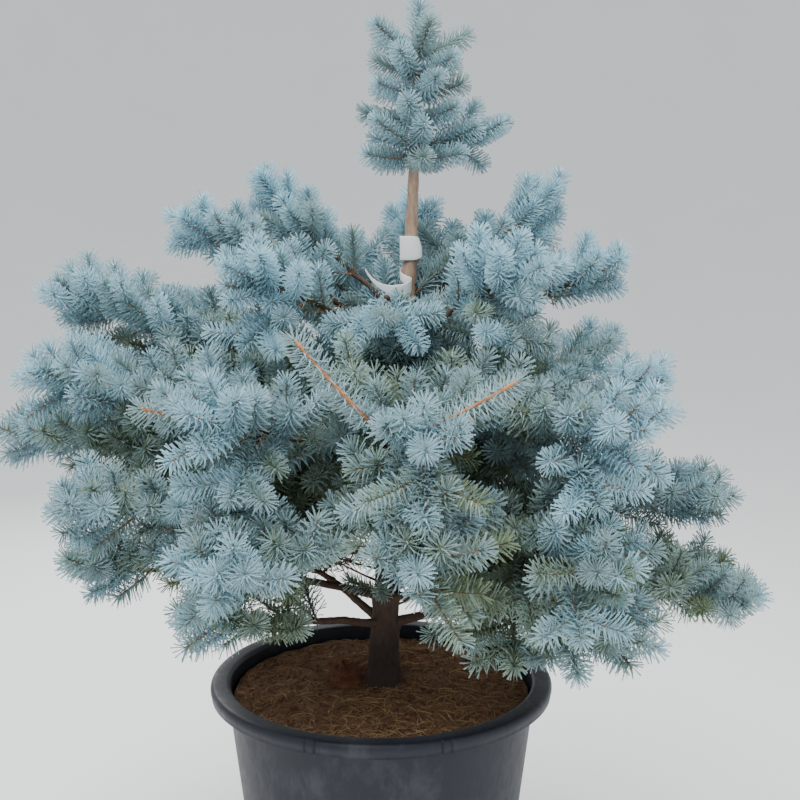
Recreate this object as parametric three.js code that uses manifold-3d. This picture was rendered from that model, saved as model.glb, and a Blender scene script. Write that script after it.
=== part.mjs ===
// A young blue spruce, wide and low with a short leader, in a dark nursery pot.
// Millimetres and degrees, +Z up. The origin is the centre of the pot's flat underside.
// Azimuth 0 is +X, 90 is +Y, and 270 is the side that faces the viewer.
import * as THREE from "three";
import { mergeVertices } from "three/addons/utils/BufferGeometryUtils.js";
import Module from "manifold-3d";

const wasm = await Module();
wasm.setup();

// The pot, a thin moulded shell with a rolled rim, and the compost in it
const POT = {
  height: 380,
  rimRadius: 225,
  rimWidth: 26,
  rimDrop: 16,
  footRadius: 158,
  wall: 3.2,
  floor: 5,
  footRound: 6,
  rimLip: 3,
  rimTurn: 9,
  rimInside: 6,
  facets: 32,
  drains: 8,
  drainRadius: 8,
};
const COMPOST = { belowRim: 18, dome: 5, gap: 1, shoulders: [0.62, 0.3] };

// The trunk leaves the compost upright and then leans over to the leader's tip. Its flare is widest
// a little under the compost, where its line starts; the solid is cut flat at the compost.
const TRUNK = {
  foot: [2, 0],
  sunk: 20,
  upright: 190,
  bend: [42, 8, 820],
  tip: [46, 2, 1196],
  radius: 20,
  tipRadius: 3,
  flare: 10,
  flareHeight: 26,
  lobes: 5,
  lobeDepth: 0.3,
  sides: 10,
  segments: 12,
};

// Tiers of boughs from the skirt up: the lowest root, how far up the trunk the roots are spread, at
// what angle they leave, how thick they are, and what share of each is bare. Each bough has its
// azimuth, its reach from the trunk and the height of its outermost needles. A tier with bare 0
// grows straight from the trunk.
const TIERS = [
  {
    name: "skirt",
    root: 446,
    spread: 72,
    angle: 16,
    radius: 8,
    bare: 0.32,
    plump: 1,
    boughs: [
      { azimuth: 356, reach: 495, tip: 480 },
      { azimuth: 320, reach: 400, tip: 488 },
      { azimuth: 222, reach: 320, tip: 512 },
      { azimuth: 188, reach: 420, tip: 528 },
      { azimuth: 128, reach: 430, tip: 500 },
      { azimuth: 60, reach: 430, tip: 496 },
    ],
  },
  {
    name: "lower",
    root: 530,
    spread: 78,
    angle: 18,
    radius: 8,
    bare: 0.2,
    plump: 1,
    boughs: [
      { azimuth: 4, reach: 460, tip: 610 },
      { azimuth: 308, reach: 420, tip: 596 },
      { azimuth: 274, reach: 410, tip: 610 },
      { azimuth: 242, reach: 410, tip: 600 },
      { azimuth: 208, reach: 440, tip: 630 },
      { azimuth: 178, reach: 530, tip: 698 },
      { azimuth: 114, reach: 450, tip: 640 },
      { azimuth: 60, reach: 450, tip: 640 },
    ],
  },
  {
    name: "middle",
    root: 630,
    spread: 84,
    angle: 24,
    radius: 7,
    bare: 0.16,
    plump: 1.05,
    boughs: [
      { azimuth: 346, reach: 355, tip: 778 },
      { azimuth: 310, reach: 410, tip: 735 },
      { azimuth: 274, reach: 400, tip: 722 },
      { azimuth: 238, reach: 400, tip: 760 },
      { azimuth: 192, reach: 480, tip: 772 },
      { azimuth: 168, reach: 495, tip: 882 },
      { azimuth: 100, reach: 430, tip: 800 },
      { azimuth: 36, reach: 410, tip: 800 },
    ],
  },
  {
    name: "upper",
    root: 770,
    spread: 60,
    angle: 36,
    radius: 6,
    bare: 0,
    plump: 1.3,
    boughs: [
      { azimuth: 350, reach: 290, tip: 925 },
      { azimuth: 302, reach: 290, tip: 900 },
      { azimuth: 262, reach: 230, tip: 868 },
      { azimuth: 224, reach: 290, tip: 905 },
      { azimuth: 176, reach: 320, tip: 980 },
      { azimuth: 112, reach: 290, tip: 950 },
      { azimuth: 47, reach: 310, tip: 965 },
    ],
  },
  {
    name: "crown",
    root: 846,
    spread: 60,
    angle: 42,
    radius: 5,
    bare: 0,
    plump: 1.4,
    boughs: [
      { azimuth: 18, reach: 228, tip: 1022 },
      { azimuth: 164, reach: 225, tip: 1042 },
      { azimuth: 86, reach: 194, tip: 1015 },
    ],
  },
];

// The leader: whorls of short shoots round the top of the trunk, from the lowest up
const LEADER = {
  from: 1032,
  coat: 5,
  clear: 16,
  tip: 1248,
  tipBare: 10,
  arm: [166, 0, 1092],
  whorls: [
    { height: 1048, first: 60, lengths: [84, 82, 86, 82], rise: 3 },
    { height: 1064, first: 0, lengths: [124, 92, 88], rise: 14 },
    { height: 1104, first: 50, lengths: [88, 84, 92, 88], rise: 18 },
    { height: 1138, first: 5, lengths: [86, 82, 92, 86], rise: 24 },
    { height: 1170, first: 60, lengths: [80, 84, 78], rise: 34 },
  ],
};

// A blank plastic tie label: one strap wound once round the trunk, with a wider face in front and
// a free tail that hangs to the left.
const LABEL = {
  height: 930,
  fall: 34,
  strap: 11,
  thickness: 1.2,
  clear: 1.9,
  turns: 12,
  first: 285,
  segments: 34,
  face: [26, 34],
  faceRise: 4,
  tail: [
    [30, -40, 884],
    [6, -56, 888],
    [-18, -64, 914],
  ],
};

// Rings of every needled body lie between these shares of its length; its needles lean forward
const RINGS = { first: 0.07, last: 0.84, lean: 0.5, proud: 0.4, fit: [1, 0.75, 0.5] };

// A spray of needles, larger than life so that few of them fill the crown
const SPRAY = { length: 105, core: 6.5, endCore: 3.9, needle: 22.5, sides: 3, pitch: 44 };

// A foliage mass: a flattened core of needles along one stem, and sprays that stand out of it.
// Each spray has its place along the stem, its roll about the stem (0 left, 90 up, 180 right), the
// angle at which it opens from the stem and its reach as a share of the bough's.
const MASS = {
  core: { wide: 0.17, tall: 0.105, sides: 5, bands: 3, needle: 22 },
  sprays: [
    { place: 0.25, roll: 4, opening: 62, reach: 0.37 },
    { place: 0.25, roll: 176, opening: 62, reach: 0.37 },
    { place: 0.72, roll: 10, opening: 42, reach: 0.31 },
    { place: 0.72, roll: 170, opening: 42, reach: 0.31 },
    { place: 0.6, roll: 88, opening: 42, reach: 0.27 },
  ],
  fit: [1, 0.85, 0.7, 0.55, 0.4, 0.28, 0.18, 0.1],
  inside: 0.75,
  wander: 14,
  tipBare: 16,
  tipSpray: 0.7,
  stemSides: 4,
  stemShare: 0.35,
  stemEnd: 3,
  margin: 2.5,
  overPot: 14,
};

const CLEAR = 0.3;
const UP = new THREE.Vector3(0, 0, 1);
const ground = POT.height - COMPOST.belowRim + COMPOST.dome + CLEAR;

const group = new THREE.Group();

function add(name, geometry, material) {
  const mesh = new THREE.Mesh(geometry, material);
  mesh.name = name;
  group.add(mesh);
}

const finish = (color, roughness) =>
  new THREE.MeshStandardMaterial({ color, roughness, metalness: 0 });
const MATERIALS = {
  plastic: finish(0x2b2e36, 0.5),
  compost: finish(0x3b2a1e, 0.95),
  bark: finish(0x6b4a38, 0.9),
  needles: finish(0x8fb0b4, 0.7),
  label: finish(0xf2f2ee, 0.5),
};

// A repeatable random source: one seed always gives the same twigs
function randomSource(seed) {
  let state = seed >>> 0;
  return () => {
    state = (Math.imul(state, 1664525) + 1013904223) >>> 0;
    return state / 4294967296;
  };
}

// A closed geometry as a solid for joining and cutting, and back
function solidOf(geometry) {
  const bare = geometry.clone();
  bare.deleteAttribute("normal");
  bare.deleteAttribute("uv");
  const merged = mergeVertices(bare, 1e-3);
  return new wasm.Manifold(
    new wasm.Mesh({
      numProp: 3,
      vertProperties: merged.attributes.position.array,
      triVerts: new Uint32Array(merged.index.array),
    }),
  );
}

function geometryOf(solid) {
  const mesh = solid.getMesh();
  const geometry = new THREE.BufferGeometry();
  geometry.setAttribute("position", new THREE.BufferAttribute(mesh.vertProperties, 3));
  geometry.setIndex(new THREE.BufferAttribute(mesh.triVerts, 1));
  geometry.computeVertexNormals();
  return geometry;
}

const joined = (solids) => solids.reduce((whole, next) => whole.add(next));

// A closed limb along a curve: a cylinder whose rings are carried along it, each with its own radius
function limb(curve, radiusAt, sides, segments, shareAt = (t) => t) {
  const geometry = new THREE.CylinderGeometry(1, 1, 1, sides, segments);
  const place = geometry.attributes.position;
  for (let i = 0; i < place.count; i++) {
    const share = shareAt(place.getY(i) + 0.5);
    const along = curve.getTangent(share);
    const across = new THREE.Vector3(-along.z, 0, along.x);
    if (across.lengthSq() < 0.2) across.set(0, along.z, -along.y);
    across.normalize();
    const third = new THREE.Vector3().crossVectors(across, along);
    const turn = Math.atan2(place.getZ(i), place.getX(i));
    const radius = radiusAt(share, turn) * Math.hypot(place.getX(i), place.getZ(i));
    const point = curve
      .getPoint(share)
      .addScaledVector(across, radius * Math.cos(turn))
      .addScaledVector(third, radius * Math.sin(turn));
    place.setXYZ(i, point.x, point.y, point.z);
  }
  return geometry;
}

// The trunk's line and radius
const trunkLine = new THREE.CubicBezierCurve3(
  new THREE.Vector3(...TRUNK.foot, ground - TRUNK.sunk),
  new THREE.Vector3(...TRUNK.foot, ground - TRUNK.sunk + TRUNK.upright),
  new THREE.Vector3(...TRUNK.bend),
  new THREE.Vector3(...TRUNK.tip),
);

function trunkRadius(share, turn = 0) {
  const height = trunkLine.getPoint(share).z - ground + TRUNK.sunk;
  const taper = TRUNK.tipRadius + (TRUNK.radius - TRUNK.tipRadius) * (1 - share) ** 0.85;
  const lobes = 1 + TRUNK.lobeDepth * Math.cos(TRUNK.lobes * turn);
  return taper + TRUNK.flare * lobes * Math.exp(-height / TRUNK.flareHeight);
}

// The share of the trunk's line that lies at a height, by halving
function trunkShare(height) {
  let [low, high] = [0, 1];
  for (let i = 0; i < 30; i++) {
    const middle = (low + high) / 2;
    if (trunkLine.getPoint(middle).z < height) low = middle;
    else high = middle;
  }
  return low;
}

// The trunk's limb, with rings closer at the foot; grown by the clearance it is the room it needs
const trunkLimb = (grown) =>
  limb(
    trunkLine,
    (share, turn) => trunkRadius(share, turn) + grown,
    TRUNK.sides,
    TRUNK.segments,
    (t) => t ** 1.4 * (grown ? 1 : 1 - CLEAR / trunkLine.getLength()),
  );
const trunkRoom = solidOf(trunkLimb(CLEAR));

// The trunk's solid is the limb above the compost
const trunkGeometry = () => geometryOf(solidOf(trunkLimb(0)).trimByPlane([0, 0, 1], ground));

// A bough's line from the trunk's middle to its outermost needles, leaving at its tier's angle.
// Roots are dealt out up the trunk by threes, so that neighbours never leave it side by side.
function boughLine(tier, bough, i) {
  const up = ((i * 3) % tier.boughs.length) / tier.boughs.length;
  const root = trunkLine.getPoint(trunkShare(tier.root + tier.spread * up));
  const turn = THREE.MathUtils.degToRad(bough.azimuth);
  const out = new THREE.Vector3(Math.cos(turn), Math.sin(turn), 0);
  const half = bough.reach / 2;
  const bend = root.clone().addScaledVector(out, half);
  bend.z += half * Math.tan(THREE.MathUtils.degToRad(tier.angle));
  const tip = root.clone().addScaledVector(out, bough.reach).setZ(bough.tip);
  return new THREE.QuadraticBezierCurve3(root, bend, tip);
}

const boughs = TIERS.flatMap((tier, t) =>
  tier.boughs.map((bough, i) => {
    const line = boughLine(tier, bough, i);
    return {
      tier,
      line,
      label: `${tier.name}_${i + 1}`,
      seed: 101 * (t + 1) + 7 * i,
      samples: line.getPoints(12),
    };
  }),
);

// The distance from a point to a chain of straight steps
const step = new THREE.Line3();
const nearest = new THREE.Vector3();
function distanceTo(samples, point) {
  let least = Infinity;
  for (let i = 1; i < samples.length; i++) {
    step.set(samples[i - 1], samples[i]).closestPointToPoint(point, true, nearest);
    least = Math.min(least, nearest.distanceTo(point));
  }
  return least;
}

// The leader's own line, so that the boughs keep out of its space and it out of theirs
const leaderLine = [
  trunkLine.getPoint(trunkShare(LEADER.whorls[1].height)),
  new THREE.Vector3(...LEADER.arm),
  trunkLine.getPoint(trunkShare(LEADER.from)),
  new THREE.Vector3(TRUNK.tip[0], TRUNK.tip[1], LEADER.tip),
];

// The label's line: once round the trunk, falling as it goes, and out along its tail
const labelWound = (i) => {
  const height = LABEL.height - (LABEL.fall * i) / LABEL.turns;
  const axis = trunkLine.getPoint(trunkShare(height));
  const radius = trunkRadius(trunkShare(height)) + LABEL.clear;
  const turn = THREE.MathUtils.degToRad(LABEL.first + (360 * i) / LABEL.turns);
  return new THREE.Vector3(axis.x + radius * Math.cos(turn), axis.y + radius * Math.sin(turn), height);
};
const labelLine = new THREE.CatmullRomCurve3([
  ...Array.from({ length: LABEL.turns + 1 }, (_, i) => labelWound(i)),
  ...LABEL.tail.map((p) => new THREE.Vector3(...p)),
]);
const labelSamples = labelLine.getPoints(30);

// The radius of a limb at a share of its bough's line
function boughRadius(tier, share) {
  return MASS.stemEnd + (tier.radius - MASS.stemEnd) * (1 - share);
}

// True if a point is in its owner's space: nearer to its line than to any other, off the trunk,
// off the bare part of its own bough, and clear of the label and the pot.
function inSpace(owner, point) {
  const own = distanceTo(owner ? owner.samples : leaderLine, point);
  if (boughs.some((b) => b !== owner && distanceTo(b.samples, point) < own + MASS.margin)) return false;
  if (owner && distanceTo(leaderLine, point) < own + MASS.margin) return false;
  if (owner && distanceTo(labelSamples, point) < LABEL.face[1] / 2) return false;
  if (owner && point.z < LEADER.from + 20) {
    const share = trunkShare(Math.min(point.z, TRUNK.tip[2]));
    const off = trunkLine.getPoint(share).distanceTo(point);
    if (off < trunkRadius(share) + MASS.margin) return false;
  }
  if (owner && owner.tier.bare) {
    const bareSteps = Math.floor(owner.tier.bare * (owner.samples.length - 1)) + 1;
    const bareLine = owner.samples.slice(0, bareSteps);
    if (distanceTo(bareLine, point) < owner.tier.radius + MASS.margin) return false;
  }
  return point.z > POT.height + MASS.overPot || Math.hypot(point.x, point.y) > POT.rimRadius + MASS.overPot;
}

// The directions across a line: level, and square to both the line and that
function across(along) {
  const level = new THREE.Vector3(-along.y, along.x, 0);
  if (level.lengthSq() < 0.05) level.set(1, 0, 0).addScaledVector(along, -along.x);
  level.normalize();
  return [level, new THREE.Vector3().crossVectors(along, level)];
}

// The outermost of a few points along a step out from a middle that lies in its owner's space
function fitted(owner, middle, out, shares) {
  for (const share of shares) {
    const point = middle.clone().addScaledVector(out, share);
    if (inSpace(owner, point)) return point;
  }
  return null;
}

// A closed body of needles along a line: rings, each turned half a side from the last, whose
// half-widths come from a function of the share along the line. Facets of its sides are drawn out
// and forward into needles, where there is room for them and they stand proud of their facet.
function needledBody(owner, line, sizeAt, { sides, bands, needle, fit, first = RINGS.first }) {
  const points = [line.getPoint(0)];
  const rings = [];
  const ringShare = (r) => first + ((RINGS.last - first) * r) / bands;
  for (let r = 0; r <= bands; r++) {
    const share = ringShare(r);
    const middle = line.getPoint(share);
    const [level, square] = across(line.getTangent(share));
    const [wide, tall] = sizeAt(share);
    rings.push([]);
    for (let k = 0; k < sides; k++) {
      const turn = (2 * Math.PI * (k + r / 2)) / sides;
      const out = level
        .clone()
        .multiplyScalar(wide * Math.cos(turn))
        .addScaledVector(square, tall * Math.sin(turn));
      const point = fitted(owner, middle, out, fit);
      if (!point) return null;
      rings[r].push(points.push(point) - 1);
    }
  }
  const end = points.push(line.getPoint(1)) - 1;
  if (!inSpace(owner, points[end])) return null;
  const faces = [];
  const flat = new THREE.Plane();
  const facet = (a, b, c, share) => {
    const middle = points[a].clone().add(points[b]).add(points[c]).divideScalar(3);
    const along = line.getTangent(share);
    const out = middle.clone().sub(line.getPoint(share)).projectOnPlane(along).setLength(needle);
    out.addScaledVector(along, needle * RINGS.lean);
    const tip = fitted(owner, middle, out, RINGS.fit);
    flat.setFromCoplanarPoints(points[a], points[b], points[c]);
    if (!tip || flat.distanceToPoint(tip) < RINGS.proud * tip.distanceTo(middle)) {
      faces.push([a, b, c]);
      return;
    }
    const n = points.push(tip) - 1;
    faces.push([a, b, n], [b, c, n], [c, a, n]);
  };
  for (let k = 0; k < sides; k++) {
    const next = (k + 1) % sides;
    faces.push([0, rings[0][next], rings[0][k]]);
    faces.push([end, rings[bands][k], rings[bands][next]]);
  }
  for (let r = 0; r < bands; r++) {
    for (let k = 0; k < sides; k++) {
      const next = (k + 1) % sides;
      facet(rings[r][k], rings[r][next], rings[r + 1][k], ringShare(r + 0.5));
      facet(rings[r + 1][k], rings[r][next], rings[r + 1][next], ringShare(r + 0.5));
    }
  }
  const geometry = new THREE.BufferGeometry().setFromPoints(points);
  geometry.setIndex(faces.flat());
  return solidOf(geometry);
}

// A spray of needles on a straight slim core that is bare up to a given length, shorter where its
// space is tight, or none.
function spray(owner, from, direction, length, bare) {
  for (const shorter of [1, 0.84, 0.7]) {
    const reach = bare + (length - bare) * shorter;
    const line = new THREE.LineCurve3(from, from.clone().addScaledVector(direction, reach));
    const sizeAt = (share) => Array(2).fill(share < RINGS.last ? SPRAY.core : SPRAY.endCore);
    const bands = Math.max(2, Math.round((reach - bare) / SPRAY.pitch));
    const made = needledBody(owner, line, sizeAt, { ...SPRAY, bands, fit: [1], first: bare / reach });
    if (made) return made;
  }
  return null;
}

// A foliage mass: a short stem, the core that it runs into, the sprays of the seeded rule that
// stand out of the core, and one at its tip.
function foliage(bough) {
  const { tier, line } = bough;
  const random = randomSource(bough.seed);
  const length = line.getLength();
  const start = tier.bare ? tier.bare + CLEAR / length : 0;
  const rootShare = tier.bare || (trunkRadius(trunkShare(tier.root)) + 6) / length;
  const endShare = 1 - (MASS.tipSpray * SPRAY.length) / length;
  const coreShare = (t) => rootShare + (endShare - rootShare) * t;
  const stem = limb(
    line,
    (share) => boughRadius(tier, share),
    MASS.stemSides,
    1,
    (t) => start + (coreShare(MASS.stemShare) - start) * t,
  );
  const coreLine = new THREE.CatmullRomCurve3([0, 0.33, 0.66, 1].map((t) => line.getPoint(coreShare(t))));
  const wide = tier.plump * MASS.core.wide;
  const tall = tier.plump * MASS.core.tall;
  const swell = (share) => Math.sqrt(Math.sin(Math.PI * (0.1 + 0.8 * share)));
  const core = needledBody(
    bough,
    coreLine,
    (share) => [wide * length * swell(share), tall * length * swell(share)],
    { ...MASS.core, fit: MASS.fit },
  );
  const end = line.getPoint(endShare - MASS.tipBare / length);
  const tip = line.getPoint(1);
  const parts = [
    tier.bare ? solidOf(stem) : solidOf(stem).subtract(trunkRoom),
    core,
    spray(bough, end, tip.clone().sub(end).normalize(), tip.distanceTo(end), MASS.tipBare),
  ];
  for (const { place, roll, opening, reach } of MASS.sprays) {
    const share = coreShare(place);
    const along = line.getTangent(share);
    const [level, square] = across(along);
    const wander = () => THREE.MathUtils.degToRad(MASS.wander * (2 * random() - 1));
    const turn = THREE.MathUtils.degToRad(roll) + wander();
    const open = THREE.MathUtils.degToRad(opening) + wander();
    const direction = along
      .clone()
      .multiplyScalar(Math.cos(open))
      .addScaledVector(level, Math.sin(open) * Math.cos(turn))
      .addScaledVector(square, Math.sin(open) * Math.sin(turn));
    const half = length * swell(place) * Math.hypot(wide * Math.cos(turn), tall * Math.sin(turn));
    const bare = (MASS.inside * half) / Math.sin(open);
    parts.push(spray(bough, line.getPoint(share), direction, reach * length, bare));
  }
  const whole = joined(parts.filter(Boolean)).decompose();
  return geometryOf(whole.reduce((a, b) => (b.volume() > a.volume() ? b : a)));
}

// The bare part of a bough, from the trunk's surface to its foliage
function bareBough(bough) {
  const { tier, line } = bough;
  const made = limb(line, (share) => boughRadius(tier, share), 6, 2, (t) => t * tier.bare);
  return geometryOf(solidOf(made).subtract(trunkRoom));
}

// The leader's coat of needles: a sleeve round the trunk that its whorls of shoots stand out of
function leaderFoliage() {
  const from = trunkShare(LEADER.from);
  const top = trunkLine.getPoint(1);
  const line = new THREE.CatmullRomCurve3([
    trunkLine.getPoint(from),
    trunkLine.getPoint((1 + from) / 2),
    top,
    top.clone().setZ(top.z + 8),
  ]);
  const sleeve = limb(line, (share) => trunkRadius(from + (1 - from) * share) + LEADER.coat, 8, 6);
  const parts = [solidOf(sleeve)];
  parts.push(spray(null, top, UP, LEADER.tip - top.z, LEADER.tipBare));
  for (const whorl of LEADER.whorls) {
    const root = trunkLine.getPoint(trunkShare(whorl.height));
    whorl.lengths.forEach((length, i) => {
      const turn = THREE.MathUtils.degToRad(whorl.first + (360 * i) / whorl.lengths.length);
      const rise = Math.tan(THREE.MathUtils.degToRad(whorl.rise));
      const direction = new THREE.Vector3(Math.cos(turn), Math.sin(turn), rise).normalize();
      const bare = trunkRadius(trunkShare(whorl.height)) + LEADER.clear;
      parts.push(spray(null, root, direction, length, bare));
    });
  }
  return geometryOf(joined(parts.filter(Boolean)).subtract(trunkRoom));
}

// A flat strap along a line: a box whose cross-section is carried along, edge upright
function strap(line, height, thickness, segments) {
  const geometry = new THREE.BoxGeometry(1, height, thickness, segments, 1, 1);
  const place = geometry.attributes.position;
  for (let i = 0; i < place.count; i++) {
    const share = place.getX(i) + 0.5;
    const along = line.getTangent(share);
    const out = new THREE.Vector3(along.y, -along.x, 0).normalize();
    const point = line.getPoint(share).addScaledVector(out, place.getZ(i)).addScaledVector(UP, place.getY(i));
    place.setXYZ(i, point.x, point.y, point.z);
  }
  return solidOf(geometry);
}

function labelGeometry() {
  const [width, height] = LABEL.face;
  const start = labelLine.getPoint(0);
  const face = new THREE.BoxGeometry(width, LABEL.thickness, height);
  face.translate(start.x, start.y - CLEAR / 2, start.z + LABEL.faceRise);
  return geometryOf(strap(labelLine, LABEL.strap, LABEL.thickness, LABEL.segments).add(solidOf(face)));
}

// The pot's section, from the middle of its underside round the rolled rim and down inside
function potGeometry() {
  const { height, rimRadius, rimWidth, rimDrop, footRadius, wall, floor, rimLip } = POT;
  const neck = rimRadius - rimWidth + wall;
  const inner = neck - wall;
  const under = height - wall - rimLip;
  const section = new THREE.Path();
  section.moveTo(0, 0);
  section.lineTo(footRadius - POT.footRound, 0);
  section.quadraticCurveTo(footRadius, 0, footRadius, POT.footRound);
  section.lineTo(neck, height - rimDrop);
  section.lineTo(neck, under);
  section.lineTo(rimRadius - wall - rimLip, under);
  section.lineTo(rimRadius - wall, height - rimDrop);
  section.lineTo(rimRadius, height - rimDrop);
  section.quadraticCurveTo(rimRadius, height, rimRadius - POT.rimTurn, height);
  section.lineTo(inner + POT.rimInside, height);
  section.quadraticCurveTo(inner, height, inner, height - POT.rimInside);
  section.lineTo(footRadius - wall, floor);
  section.lineTo(0, floor);
  const shell = new THREE.LatheGeometry(section.getPoints(2), POT.facets).rotateX(Math.PI / 2);
  const drain = (i) => {
    const hole = new THREE.CylinderGeometry(POT.drainRadius, POT.drainRadius, 3 * POT.drainRadius, 10);
    hole.translate(0, -footRadius, 0).rotateZ((2 * Math.PI * (i + 0.5)) / POT.drains);
    return solidOf(hole);
  };
  const drains = Array.from({ length: POT.drains }, (_, i) => drain(i));
  return geometryOf(drains.reduce((pot, hole) => pot.subtract(hole), solidOf(shell)));
}

// The compost fills the pot up to a little under its rim, with a flat seat for the trunk
function compostGeometry() {
  const { height, rimRadius, rimWidth, rimInside, footRadius, wall, floor } = POT;
  const inner = rimRadius - rimWidth;
  const low = footRadius - wall;
  const edge = height - COMPOST.belowRim;
  const top = edge + COMPOST.dome;
  const slope = (inner - low) / (height - rimInside - floor);
  const [outer, flat] = COMPOST.shoulders;
  const section = [
    [0, floor + CLEAR],
    [low - COMPOST.gap, floor + CLEAR],
    [low + slope * (edge - floor) - COMPOST.gap, edge],
    [outer * inner, edge + COMPOST.dome / 3],
    [flat * inner, top],
    [0, top],
  ].map((p) => new THREE.Vector2(...p));
  return new THREE.LatheGeometry(section, POT.facets).rotateX(Math.PI / 2);
}

add("pot", potGeometry(), MATERIALS.plastic);
add("compost", compostGeometry(), MATERIALS.compost);
add("trunk", trunkGeometry(), MATERIALS.bark);
for (const bough of boughs) {
  if (bough.tier.bare) add(`bough_${bough.label}`, bareBough(bough), MATERIALS.bark);
  add(`foliage_${bough.label}`, foliage(bough), MATERIALS.needles);
}
add("foliage_leader", leaderFoliage(), MATERIALS.needles);
add("label", labelGeometry(), MATERIALS.label);

export default group;
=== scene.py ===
"""A young blue spruce in a nursery pot: bark, boughs, needled shoots, pot, compost and tie label."""

import math

import bpy
import numpy as np
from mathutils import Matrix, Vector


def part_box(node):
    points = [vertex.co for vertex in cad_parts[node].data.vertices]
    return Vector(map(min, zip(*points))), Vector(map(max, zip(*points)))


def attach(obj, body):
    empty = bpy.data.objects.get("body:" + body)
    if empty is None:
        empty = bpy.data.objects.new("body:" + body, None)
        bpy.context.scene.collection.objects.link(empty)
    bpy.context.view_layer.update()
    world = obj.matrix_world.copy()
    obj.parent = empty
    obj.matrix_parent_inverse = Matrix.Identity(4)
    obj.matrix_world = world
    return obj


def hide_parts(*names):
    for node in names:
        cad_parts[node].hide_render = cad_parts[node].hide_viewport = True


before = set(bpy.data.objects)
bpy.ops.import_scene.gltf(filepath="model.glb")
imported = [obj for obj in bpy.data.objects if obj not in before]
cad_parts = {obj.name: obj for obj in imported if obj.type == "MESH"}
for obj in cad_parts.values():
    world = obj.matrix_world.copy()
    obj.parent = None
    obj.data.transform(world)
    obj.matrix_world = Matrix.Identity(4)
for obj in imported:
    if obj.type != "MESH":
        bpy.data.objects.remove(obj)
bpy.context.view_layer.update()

bl_info = {
    "name": "Potted blue spruce",
    "version": (1, 0, 0),
    "blender": (4, 5, 0),
    "location": "3D View > Sidebar > Spruce",
    "description": "Grows a young blue spruce by rule and sets it in its nursery pot",
    "category": "Add Mesh",
}

# Lengths in the tables and in the rules are millimetres, angles are degrees, heights are over the
# pot's underside, and azimuths turn from the viewer's right away from the viewer
MM = 0.001
UP = np.array([0, 0, 1.0])
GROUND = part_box("trunk")[0][2] / MM

# How far under the compost the trunk's line starts, where the flare is widest
SUNK = 20

# The trunk's line is a cubic curve that goes upright, then bends to the tip
TRUNK = {
    "line": ((2, 0, GROUND - SUNK), (2, 0, GROUND + 170), (42, 8, 820), (46, 2, 1196)),
    "radius": 20,
    "tip_radius": 3,
    "flare": 10,
    "flare_height": 26,
    "lobes": 5,
    "lobe_depth": 0.3,
}

# Tiers of boughs: lowest root, spread of roots, leaving angle, radius, bare share, plumpness, and
# each bough's azimuth, reach and the height of its outermost needles
TIERS = {
    "skirt": (446, 72, 16, 8, 0.32, 1.0, (
        (356, 495, 480), (320, 400, 488), (222, 320, 512), (188, 420, 528), (128, 430, 500),
        (60, 430, 496))),
    "lower": (530, 78, 18, 8, 0.2, 1.0, (
        (4, 460, 610), (308, 420, 596), (274, 410, 610), (242, 410, 600), (208, 440, 630),
        (178, 530, 698), (114, 450, 640), (60, 450, 640))),
    "middle": (630, 84, 24, 7, 0.16, 1.05, (
        (346, 355, 778), (310, 410, 735), (274, 400, 722), (238, 400, 760), (192, 480, 772),
        (168, 495, 882), (100, 430, 800), (36, 410, 800))),
    "upper": (770, 60, 36, 6, 0.0, 1.3, (
        (350, 290, 925), (302, 290, 900), (262, 230, 868), (224, 290, 905), (176, 320, 980),
        (112, 290, 950), (47, 310, 965))),
    "crown": (846, 60, 42, 5, 0.0, 1.4, (
        (18, 228, 1022), (164, 225, 1042), (86, 194, 1015))),
}

# Boughs of a tier whose needles are one piece share a letter, three by three
LETTERS = "abc"

# Lowest root and range of roots over which growth turns from the skirt's to the crown's
LOW_ROOT, ROOT_RANGE = 400, 420

# Whorls of the leader: height, first azimuth, lengths and rise
WHORLS = (
    (1052, 60, (66, 64, 68, 64, 66), -6),
    (1070, 2, (124, 66, 68, 72, 66), 10),
    (1100, 40, (64, 62, 68, 64, 66), 4),
    (1132, 76, (62, 66, 62, 68, 64), 6),
    (1156, 30, (60, 64, 60, 62, 64), 10),
    (1180, 2, (74, 66, 64, 80, 66), 18),
)
LEADER_TIP = 1248

# Height of the hem, under which no shoot hangs
HEM = 470

# A shoot that would be cut back to less than this is left out
SHORTEST = 34

# Shoots end this far inside the reach of their bough, which leaves room for needles
NEEDLE_ROOM = 14

# No tip comes this near to the trunk's middle below the leader's foot
TRUNK_CLEARANCE, LEADER_FOOT = 26, 1030

# Spaces that shoots leave open, by lowest and highest corners: before the label, before the foot
OPEN_SPACES = (((-64, -300, 866), (76, 12, 968)), ((-64, -440, 380), (58, -24, 588)))

# Rolls of a bough's side branches round it: to both sides, above and below
SIDES, ABOVE, BELOW = (8, 172), (88, 55, 125), (-110, -70)

# Length of the branches under a bough as a share of those beside it, where they hang furthest
HANG = {"skirt": 0.55, "lower": 0.7, "middle": 0.7}

# Length of a branch's newest growth, and the lengths from which a branch has old wood and twigs
NEWEST, OLD_FROM, TWIGS_FROM = 88, 95, 74

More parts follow.
